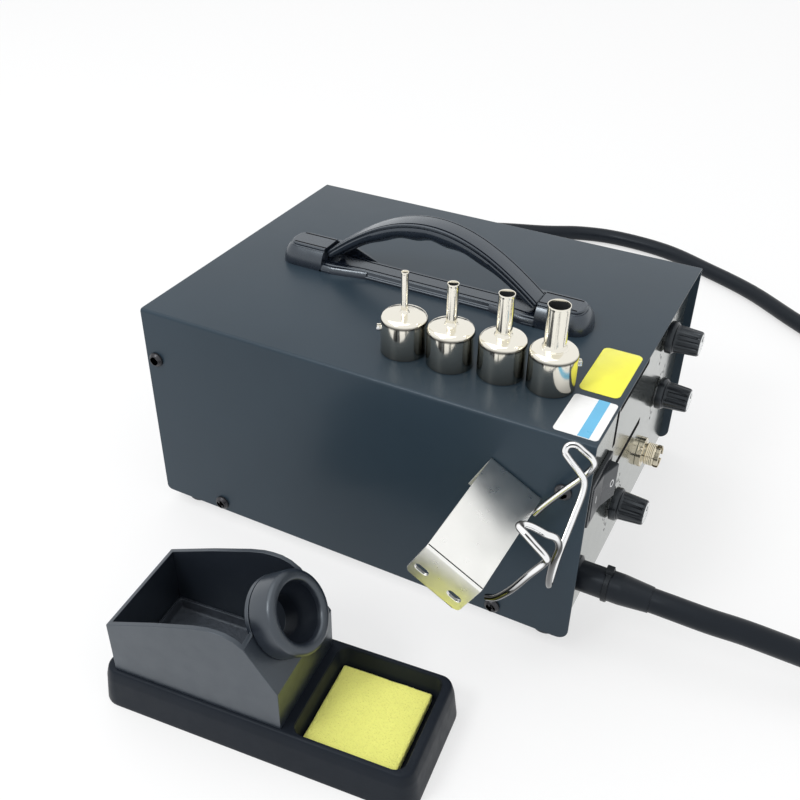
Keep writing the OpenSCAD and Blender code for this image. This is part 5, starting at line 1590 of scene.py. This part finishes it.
@dataclass
class PowerSwitch:
    """The rocker switch with its printed 0 and I."""

    mark: float = 0.05
    bar: Point = (0.8, 4.2)
    ring: Point = (1.25, 1.85)
    ring_shape: Point = (0.8, 1.2)
    mark_share: float = 0.3
    steepest: float = -0.75
    smallest: float = 2e-5

    def build(self) -> None:
        """Rounds the frame and the rocker and prints the marks."""
        rounded("rocker_frame", SWITCH_BLACK, 0.5, 3)
        rounded("rocker_paddle", ROCKER_GREY, 0.45, 3)
        solid = frame["nodes"]["rocker_paddle"].data
        span = Span.of("rocker_paddle")
        faces = [f for f in solid.polygons if f.normal.y < self.steepest and f.area > self.smallest]
        parts = []
        for side in (-1, 1):
            face = max((f for f in faces if (f.center.x / MM - span.centre.x) * side > 1), key=lambda f: f.area,
                       default=None)
            if face is None:
                continue
            spot = Vector((span.centre.x + side * span.size.x * self.mark_share, 0, span.centre.z)) * MM
            spot.y = face.center.y - (face.normal.x * (spot.x - face.center.x)) / face.normal.y
            place = on_axis(spot, face.normal.copy(), Vector((1, 0, 0)))
            if side < 0:
                parts.append(slab(rectangle(*self.bar, 0.2, 2), -0.02, self.mark, place))
            else:
                inner, outer = self.ring
                ring = [(inner, -0.02), (outer, -0.02), (outer, self.mark), (inner, self.mark)]
                parts.append(lathe(ring, place @ Matrix.Diagonal((*self.ring_shape, 1, 1)), 40))
        if parts:
            dress("rocker_marks", gather(*parts), PRINT_WHITE, "rocker_paddle")


@dataclass
class IronSocket:
    """The round socket for the iron: threaded barrel with key slots, ring nut and insert."""

    radius: float = 6.5
    depth: float = 7.5
    key: Place = (2.4, 3.0, 5.0)
    pitch: float = 0.9
    thread_depth: float = 0.28
    wall: float = 1.3

    def build(self) -> None:
        """Turns the barrel with its thread, cuts its key slots and rounds the nut."""
        span = Span.of("socket_barrel")
        panel = Span.of("front_overlay").low.y
        nut = Span.of("socket_nut")
        place = on_axis(mm(nut.centre.x, panel, nut.centre.z), Vector((0, -1, 0)), Vector((1, 0, 0)))
        radius, reach = self.radius, panel - span.low.y
        bore = radius - self.wall
        neck = nut.size.y + 0.1
        profile = [(bore, -self.depth), (radius - 0.1, -self.depth), (radius - 0.1, neck), (bore + 0.4, neck),
                   (bore + 0.4, neck + 1.3), (radius - 0.3, neck + 1.3)]
        height = neck + 1.4
        while height < reach - 3.4:
            profile += [(radius - self.thread_depth, height), (radius, height + self.pitch / 2)]
            height += self.pitch
        profile += [(radius - 0.3, reach - 3.2), (radius - 0.3, reach - 2.6), (radius, reach - 2.3),
                    (radius, reach - 0.4), (radius - 0.35, reach), (bore + 0.3, reach), (bore, reach - 0.3)]
        barrel = make("socket_barrel_turned", lathe(profile, place, 64), SOCKET_PLATING, 30)
        keys = gather(*(block(self.key, (0, radius - 0.6, reach - 0.5), place @ Matrix.Rotation(
            math.radians(a), 4, "Z")) for a in (0, 120, 240)))
        barrel = cut(barrel, keys, SOCKET_PLATING)
        settle(barrel, body_of("socket_barrel"), SOCKET_PLATING, "socket_barrel")
        rounded("socket_nut", SOCKET_PLATING, 0.3, 3)


# Holder

@dataclass
class HandpieceHolder:
    """The bent plate on the left wall and the wire cradle on its front edge."""

    slope: float = 28.6
    droop: float = 5.2
    width: float = 28.9
    length: float = 61.3
    outer_flange: float = 23.0
    wall_flange: float = 21.5
    thick: float = 1.4
    bend: float = 1.5
    corner: float = 3.0
    slot_length: float = 7.0
    slot_width: float = 3.8
    slots_at: Point = (5.4, 22.9)
    slot_down: float = 0.68
    back: float = 41.6
    up: float = 97.35
    edge: float = 0.22
    wire_middle: float = 34.5
    wire_diameter: float = 2.9
    wire_half: list[Place] = field(default_factory=lambda: [
        (1.6, 7.7, -3), (1.7, 7.8, 6), (2.5, 8.3, 20), (3.5, 8.8, 34),
        (3.4, 9.2, 43.5), (1.1, 9.4, 46.8), (-3.9, 9.4, 47.4), (-7.9, 9.6, 47.5),
        (-10.3, 11, 45.8), (-9.5, 12.4, 43.3), (-5.9, 12.9, 42), (0.1, 13.1, 40.2),
        (4.3, 13.4, 38.2), (7.5, 14.6, 33), (11.6, 18.2, 22.5), (17.6, 26, 7.5),
        (21.7, 32, -0.6), (22.7, 34.5, -2),
    ])
    wire_low: list[Place] = field(default_factory=lambda: [
        (3.5, 8.5, -2.1), (5.5, 6.2, 5.4), (6.5, 4.6, 17.8), (6.6, 4.7, 31.2), (7.1, 5.8, 41.3),
        (5.9, 5.6, 44.5), (-0.2, 6.2, 45.4), (-5.2, 7.0, 45.7), (-8.7, 9.0, 44.3), (-7.9, 12.0, 43.2),
        (-4.3, 14.1, 43.3), (1.7, 16.0, 42.9), (5.8, 17.9, 42.4), (9.6, 19.5, 37.6), (13.2, 21.7, 25.7),
        (18.6, 28.0, 9.4), (22.1, 32.5, -0.0), (22.5, 33.6, -2.8),
    ])

    def __post_init__(self) -> None:
        """Finds the holder's frame on the wall."""
        cover, panel = Span.of("cover_hood").low, Span.of("front_overlay").low.y
        origin = mm(cover.x, panel + self.back, cover.z + self.up)
        turn = Matrix.Rotation(math.radians(self.slope), 4, "X") @ Matrix.Rotation(math.radians(-90), 4, "Z")
        self.on_wall = Matrix.Translation(origin) @ turn
        self.on_plate = self.on_wall @ Matrix.Rotation(math.radians(self.droop), 4, "X")

    def tilted(self, y: float, z: float) -> Point:
        """A point of the plate's side view, turned down by its droop."""
        a = math.radians(self.droop)
        return y * math.cos(a) - z * math.sin(a), y * math.sin(a) + z * math.cos(a)

    def punch(self, outline: Sequence[Point]) -> bmesh.types.BMesh:
        """A tool through the outer flange with an outline in its plane."""
        return loft([[self.on_plate @ mm(x, y - self.length, z) / MM for x, z in outline] for y in (-4, 4)])

    def plate(self) -> bpy.types.Object:
        """The bent strip with round bends, round corners, two slots and a painted shade line at the bend.

        Returns:
            The plate.
        """
        t, out = self.thick, -self.length
        corners = [(0, -self.wall_flange), (-0.02, 0), self.tilted(out, 0), self.tilted(out, -self.outer_flange),
                   self.tilted(out + t, -self.outer_flange), self.tilted(out + t, -t), (-t, -t * 1.05),
                   (-t, -self.wall_flange)]
        radii = [0.2, self.bend, self.bend, 0.2, 0.2, 0.4, 0.4, 0.2]
        outline = fillet(corners, radii, 6)
        ring = [[self.on_wall @ mm(a, y, z) / MM for y, z in outline] for a in (0, self.width)]
        plate = make("holder_plate_bent", loft(ring), HOLDER_CHROME, 25)
        tools = []
        for a in self.slots_at:
            slot = rectangle(self.slot_length, self.slot_width, self.slot_width / 2 - 0.01, 8,
                             (a, -self.outer_flange * self.slot_down))
            tools.append(self.punch(slot))
        for a, turn in ((0, 1), (self.width, -1)):
            r, low = self.corner, -self.outer_flange
            arc = [(a + turn * r * (1 - math.cos(math.radians(k))), low + r * (1 - math.sin(math.radians(k))))
                   for k in range(0, 91, 10)]
            wedge = [(a - turn, low + r), *arc, (a + turn * r, low - 1), (a - turn, low - 1)]
            tools.append(self.punch(wedge))
        plate = cut(plate, gather(*tools), HOLDER_CHROME)
        # painted shade: a black strip along the outer bend
        line = [(0.9, -0.3), (1.35, -0.3), (1.35, 0.05), (0.9, 0.05)]
        painted_crease_shade = [[self.on_plate @ mm(a, out + y, z) / MM for y, z in line] for a in (0.2, self.width - 0.2)]
        dress("holder_plate_crease_shade", loft(painted_crease_shade), PRINT_AND_SHADE_BLACK, "holder_plate")
        return bevelled(plate, self.edge, 2, 50)

    def wire(self, tube: GrowingTree) -> bpy.types.Object:
        """The cradle of bent wire.

        Args:
            tube: The tree that sweeps a round section.

        Returns:
            The wire.
        """
        left = [(x + self.width, -y, z) for x, y, z in self.wire_half]
        right = [(x + self.width, y - 2 * self.wire_middle, z) for x, y, z in reversed(self.wire_low[:-1])]
        line = curve_through([self.on_plate @ mm(*p) for p in left + right], 8)
        return tube.grow(polyline("holder_wire_bent", line), HOLDER_WIRE,
                         {"Sides": 24, "Radius": self.wire_diameter / 2 * MM}, 60)

    def build(self, tube: GrowingTree) -> None:
        """Bends plate and wire and rounds the screws.

        Args:
            tube: The tree that sweeps a round section.
        """
        settle(self.plate(), body_of("holder_plate"), HOLDER_CHROME, "holder_plate")
        settle(self.wire(tube), body_of("holder_wire"), HOLDER_WIRE, "holder_wire")
        rounded("holder_screws", ZINC_SCREWS, 0.2)


# Spare nozzles

@dataclass
class SpareNozzle:
    """A nozzle that stands on the cover: socket body, domed top, collar, tube and clamp lug."""

    number: int
    tube: float
    turn: float
    body: float = 11.4
    height: float = 20.0
    wall: float = 0.7
    lug_out: float = 1.7
    lug_thick: float = 0.9
    lug_height: float = 2.8
    lug_at: float = 11.0
    slit: float = 1.0
    roll: float = 2.6

    def build(self) -> None:
        """Turns the nozzle and sets its clamp."""
        node = f"nozzle_{self.number}"
        span = Span.of(node)
        b, h, w, tube = self.body, self.height, self.wall, self.tube
        roof, top = span.low.z, span.high.z - span.low.z
        centre = self.axis(node)
        place = Matrix.Translation(mm(centre.x, centre.y, roof)) @ Matrix.Rotation(math.radians(self.turn), 4, "Z")
        collar, roll, sleeve = tube + 0.45, self.roll, tube - 0.36
        dome = arc((b - roll, h - roll), roll, range(0, 79, 13))
        profile = [
            (b - w, 0.0), (b - 0.4, 0.0), (b - 0.4, 0.3), (b, 0.34), (b, 0.5), (b, 1.0), (b, h - roll - 0.8),
            (b, h - roll - 0.2), *dome,
            (b * 0.7, h + 0.3), (b * 0.5 + 1, h + 0.5), (collar + 1.0, h + 0.66), (collar + 0.25, h + 0.8),
            (collar, h + 1.1), (collar - 0.05, h + 1.5), (collar - 0.2, h + 1.8), (tube + 0.04, h + 2.1),
            (tube, h + 2.6), (tube, h + 3.6), (tube, top - 1.6), (tube + 0.04, top - 0.8), (tube + 0.12, top - 0.25),
            (tube + 0.05, top), (sleeve + 0.08, top), (sleeve, top - 0.15), (sleeve, h - w), (b - 3, h - w),
            (b - w - 1.0, h - w - 0.8), (b - w, h - w - 2.2),
        ]
        # a painted-shade skin inside the bore
        painted_bore_shade = [(sleeve + 0.02, h), (sleeve + 0.02, top - 1.0), (sleeve - 0.04, top - 1.1), (sleeve - 0.04, h)]
        dress(f"{node}_bore", lathe(painted_bore_shade, place, 48), NOZZLE_BORE_SHADE, node)
        piece = make(f"{node}_turned", lathe(profile, place, 96), NOZZLE_NICKEL, 32)
        lug_top, lug_middle = self.lug_at + self.lug_height, self.lug_at + self.lug_height / 2
        piece = cut(piece, block((6, self.slit, lug_top + 3.5), (b, 0, (lug_top + 1.5) / 2), place), NOZZLE_NICKEL)
        lug_size, lug_x = (self.lug_out + 0.6, self.lug_thick, self.lug_height), b + self.lug_out / 2 - 0.3
        lug_y = (self.slit + self.lug_thick) / 2
        lugs = gather(*(block(lug_size, (lug_x, side * lug_y, lug_middle), place) for side in (-1, 1)))
        lug = bevelled(make(f"{node}_lugs", lugs, NOZZLE_NICKEL), 0.3, 3)
        axis = on_axis(place @ mm(b + self.lug_out / 2, self.slit / 2 + self.lug_thick, lug_middle),
                       place.to_3x3() @ Vector((0, 1, 0)), Vector((0, 0, 1)))
        screw = [(0, -3.6), (0.6, -3.6), (0.65, -3.4), (0.65, 0.0),
                 (1.15, 0), (1.2, 0.3), (1.0, 0.65), (0.6, 0.8), (0, 0.85)]
        head = make(f"{node}_screw", lathe(screw, axis, 32, closed=False), ZINC_SCREWS)
        settle(piece, body_of(node), NOZZLE_NICKEL, node)
        settle(lug, body_of(node), NOZZLE_NICKEL)
        settle(head, body_of(node), ZINC_SCREWS)

    def axis(self, node: str) -> Vector:
        """The middle of the nozzle's mouth, where the tube ends.

        Args:
            node: The CAD node.

        Returns:
            The middle, in millimetres.
        """
        verts = frame["nodes"][node].data.vertices
        peak = max(v.co.z for v in verts)
        rim = [v.co for v in verts if v.co.z > peak - 1e-5]
        low = Vector((min(v.x for v in rim), min(v.y for v in rim), 0))
        high = Vector((max(v.x for v in rim), max(v.y for v in rim), 0))
        return (low + high) / 2 / MM


# Iron stand

@dataclass
class IronStand:
    """The moulded stand with its hood, rubber funnel and sponge."""

    edge: float = 0.22
    place: Place = (-217.74, 51.03, 0.0)
    turn: float = 5.34
    length: float = 156.4
    width: float = 62.3
    height: float = 20.5
    corner: float = 9.0
    corner_at: Point = (-8.7, -4.7)
    hood_length: float = 84.4
    hood_width: float = 51.9
    hood_top: Point = (-14.4, 64.0)
    hood_foot: float = 42.8
    funnel_down: float = 5.0
    tray_inset: float = 3.4
    tray_floor: float = 15.0
    well_low: Point = (88.8, 0.8)
    well_high: Point = (140.5, 52.3)
    well_floor: float = 6.0
    funnel_radius: float = 18.6
    mouth_radius: float = 13.4
    throat_radius: float = 9.0
    lip: float = 2.6
    reach: float = 13.0
    sponge_steps: int = 90
    sponge_edge: float = 1.4
    sponge_lumps: tuple[Point, Point] = ((0.9, 0.10), (0.16, 0.16))
    sponge_sink: float = 0.2
    sponge_fill: float = 0.9

    def __post_init__(self) -> None:
        """Finds the stand's frame and the funnel's axis."""
        self.frame = Matrix.Translation(mm(*self.place)) @ Matrix.Rotation(math.radians(self.turn - 90), 4, "Z")
        top = Vector((self.hood_length + self.hood_top[0], self.hood_top[1]))
        along = (Vector((self.hood_length, self.hood_foot)) - top).normalized()
        out = Vector((-along.y, along.x))
        seat = top + along * self.funnel_down
        axis = self.frame.to_3x3() @ Vector((out.x, 0, out.y))
        origin = self.frame @ mm(seat.x, self.hood_width / 2, seat.y)
        self.funnel_place = on_axis(origin, axis, self.frame.to_3x3() @ Vector((0, 1, 0)))

    def rings(self, low: Point, high: Point, radius: float, levels: Iterable[Point]) -> bmesh.types.BMesh:
        """A form with a round rectangular plan.

        Args:
            low: Lower corner of the plan in the stand's frame.
            high: Upper corner of the plan.
            radius: Corner radius of the plan.
            levels: How far each ring lies outside the plan, and its height.

        Returns:
            The closed form.
        """
        centre = ((low[0] + high[0]) / 2, (low[1] + high[1]) / 2)
        size = (high[0] - low[0], high[1] - low[1])
        return loft([[self.frame @ mm(u, v, z) / MM for u, v in rectangle(
            size[0] + 2 * o, size[1] + 2 * o, max(0.3, radius + o), 8, centre)] for o, z in levels])

    def base(self) -> bpy.types.Object:
        """The base with its soft shoulder, and the openings of tray and well.

        Returns:
            The base.
        """
        h = self.height
        low = self.corner_at
        high = (low[0] + self.length, low[1] + self.width)
        levels = [(-0.5, 0.0), (-0.1, 0.2), (0.0, 0.8), (-0.12, 2.0), (-1.5, 14.2), (-1.62, 15.0), (-1.8, 15.8),
                  (-2.2, 17.4), (-2.7, 19.2), (-3.1, 20.05), (-3.7, h - 0.08), (-4.3, h), (-4.5, h)]
        # painted shade: the base takes the darker copy of the stand's plastic
        body = make("stand_base_moulded", self.rings(low, high, self.corner, levels), SHADED_STAND_PLASTIC, 30)
        openings = gather(
            self.rings(self.well_low, self.well_high, 5.0, [(0.3, self.well_floor - 0.4), (0.3, h + 3)]),
            self.rings(*self.tray_plan(), 1.5, [(0.3, self.tray_floor - 0.4), (0.3, h + 3)]))
        return cut(body, openings, SHADED_STAND_PLASTIC)

    def tray_plan(self) -> tuple[Point, Point]:
        """The corners of the tray's plan."""
        i = self.tray_inset
        return (i, i), (self.hood_length - i, self.hood_width - i)

    def linings(self) -> list[bpy.types.Object]:
        """Walls, lips and floors of tray and well.

        Returns:
            The lining of the well and that of the tray.
        """
        h, deep, tray = self.height, self.well_floor, self.tray_floor
        well = [(1.2, deep - 0.6), (1.2, h), (0.9, h + 0.04), (0.4, h - 0.12), (0.1, h - 0.5), (-0.05, h - 1.2),
                (-1.6, deep + 1.4), (-1.9, deep + 0.5), (-2.5, deep + 0.1), (-3.2, deep)]
        shelf = [(1.0, tray - 0.6), (1.0, h), (0.8, h + 0.04), (0.3, h - 0.1), (0.0, h - 0.4), (-0.1, h - 0.9),
                 (-0.35, tray + 1.1), (-0.6, tray + 0.45), (-1.2, tray + 0.1), (-1.8, tray)]
        return [make("stand_well_lining", self.rings(self.well_low, self.well_high, 5.0, well), SHADED_STAND_PLASTIC, 40),
                make("stand_tray_lining", self.rings(*self.tray_plan(), 1.5, shelf), TRAY_PLASTIC, 40)]

    def funnel(self) -> bpy.types.Object:
        """The soft rubber funnel with its rolled lip.

        Returns:
            The funnel.
        """
        r, f, m, t = self.funnel_radius, self.reach, self.mouth_radius, self.throat_radius
        lip = arc((r - self.lip, f - self.lip), self.lip, range(0, 91, 9))
        profile = [
            (t, -5.6), (t + 2.4, -5.6), (t + 4.0, -2.4), (t + 2.4, -2.3), (t + 2.4, 0.15), (r - 1.0, 0.15),
            (r - 0.1, 0.8), (r, 1.6), *lip, (m + 1.5, f), (m + 0.6, f - 0.3), (m + 0.1, f - 1.0), (m - 0.15, f - 2.2),
            (m - 0.6, f - 4.2), (m - 1.7, f - 6.6), (m - 3.0, f - 8.6), (t + 0.3, f - 10.4), (t, f - 11.6),
        ]
        return make("stand_funnel_moulded", lathe(profile, self.funnel_place, 96), FUNNEL_RUBBER, 40)

    def painted_throat_shade(self) -> bpy.types.Object:
        """A painted-shade skin over the inside of the funnel, darker and duller than the rubber.

        Returns:
            The painted-shade skin, a piece of its own.
        """
        f, m, t = self.reach, self.mouth_radius, self.throat_radius
        wall = [(m - 0.45, f - 3.0), (m - 0.6, f - 4.2), (m - 1.7, f - 6.6), (m - 3.0, f - 8.6), (t + 0.3, f - 10.4),
                (t, f - 11.6), (t, -5.4)]
        skin = [(r - 0.06, z) for r, z in wall]
        return make("stand_funnel_throat_shade", lathe(wall + skin[::-1], self.funnel_place, 96), SHADED_STAND_PLASTIC, 40)

    def sponge(self) -> bpy.types.Object:
        """The sponge: a soft block with round edges and a slightly uneven top.

        Returns:
            The sponge.
        """
        span, inverse = Span.of("stand_sponge"), self.frame.inverted()
        points = [inverse @ v.co / MM for v in frame["nodes"]["stand_sponge"].data.vertices]
        low = Vector((min(p.x for p in points), min(p.y for p in points)))
        high = Vector((max(p.x for p in points), max(p.y for p in points)))
        centre, half = (low + high) / 2, (high.x - low.x) / 2
        edge, thick = self.sponge_edge, span.size.z
        bm = bmesh.new()
        bmesh.ops.create_cube(bm, size=1.0)
        bmesh.ops.subdivide_edges(bm, edges=bm.edges, cuts=self.sponge_steps - 1, use_grid_fill=True)
        for v in bm.verts:
            here = Vector((v.co.x * 2 * half, v.co.y * 2 * half, (v.co.z + 0.5) * thick))
            inner = Vector((max(-half + edge, min(half - edge, here.x)), max(-half + edge, min(half - edge, here.y)),
                            max(edge, min(thick - edge, here.z))))
            off = here - inner
            at_edge = off.length > 1e-6
            outward = off.normalized() if at_edge else Vector((0, 0, 1))
            grain = sum(noise.noise(here * scale) * height for scale, height in self.sponge_lumps)
            spot = (inner + outward * edge if at_edge else here) + outward * (grain - self.sponge_sink)
            v.co = self.frame @ mm(centre.x + spot.x, centre.y + spot.y, span.low.z + max(0.0, spot.z))
        return make("stand_sponge_foam", bm, SPONGE_YELLOW, 60)

    def build(self) -> None:
        """Rounds base and hood, turns the funnel and lays the sponge."""
        settle(self.base(), body_of("stand_base"), SHADED_STAND_PLASTIC, "stand_base")
        for lining in self.linings():
            settle(lining, body_of("stand_base"), STAND_PLASTIC)
        rounded("stand_hood", STAND_PLASTIC, self.edge, 2, 35)
        settle(self.funnel(), body_of("stand_funnel"), FUNNEL_RUBBER, "stand_funnel")
        # painted shade inside the funnel
        settle(self.painted_throat_shade(), body_of("stand_funnel"), SHADED_STAND_PLASTIC)
        sponge = settle(self.sponge(), body_of("stand_sponge"), SPONGE_YELLOW, "stand_sponge")


# Handpiece

@dataclass
class Handpiece:
    """The hot air handpiece at the hose's end."""

    solids: dict[str, tuple[Finish, float, int]] = field(default_factory=lambda: {
        "handpiece_shell_left": (HANDPIECE_PLASTIC, 0.0, 0), "handpiece_shell_right": (HANDPIECE_PLASTIC, 0.0, 0),
        "handpiece_barrel": (BARREL_STEEL, 0.0, 0), "handpiece_boot": (BOOT_RUBBER, 0.0, 0),
    })

    def build(self) -> None:
        """Keeps shells, barrel and boot."""
        dress_solids(self.solids)


def main() -> None:
    """Builds the station in order."""
    logging.basicConfig(level=logging.INFO, format="%(name)s: %(message)s")
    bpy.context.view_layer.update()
    tube, ticks = tube_tree(), scale_tree()
    Studio().build()
    AirHose().build(tube)
    HoseOutlet().build()
    Housing().build()
    inner_parts()
    CarryHandle().build()
    RoofLabels().build()
    for control in Control:
        ControlKnob(control).build()
    PanelPrint().build(ticks)
    PowerSwitch().build()
    IronSocket().build()
    HandpieceHolder().build(tube)
    for number, (tube_radius, turn) in enumerate([(1.75, 117), (2.7, 30), (3.8, 30), (5.2, 297)], 1):
        SpareNozzle(number, tube_radius, turn).build()
    IronStand().build()
    Handpiece().build()


if __name__ == "__main__":
    main()
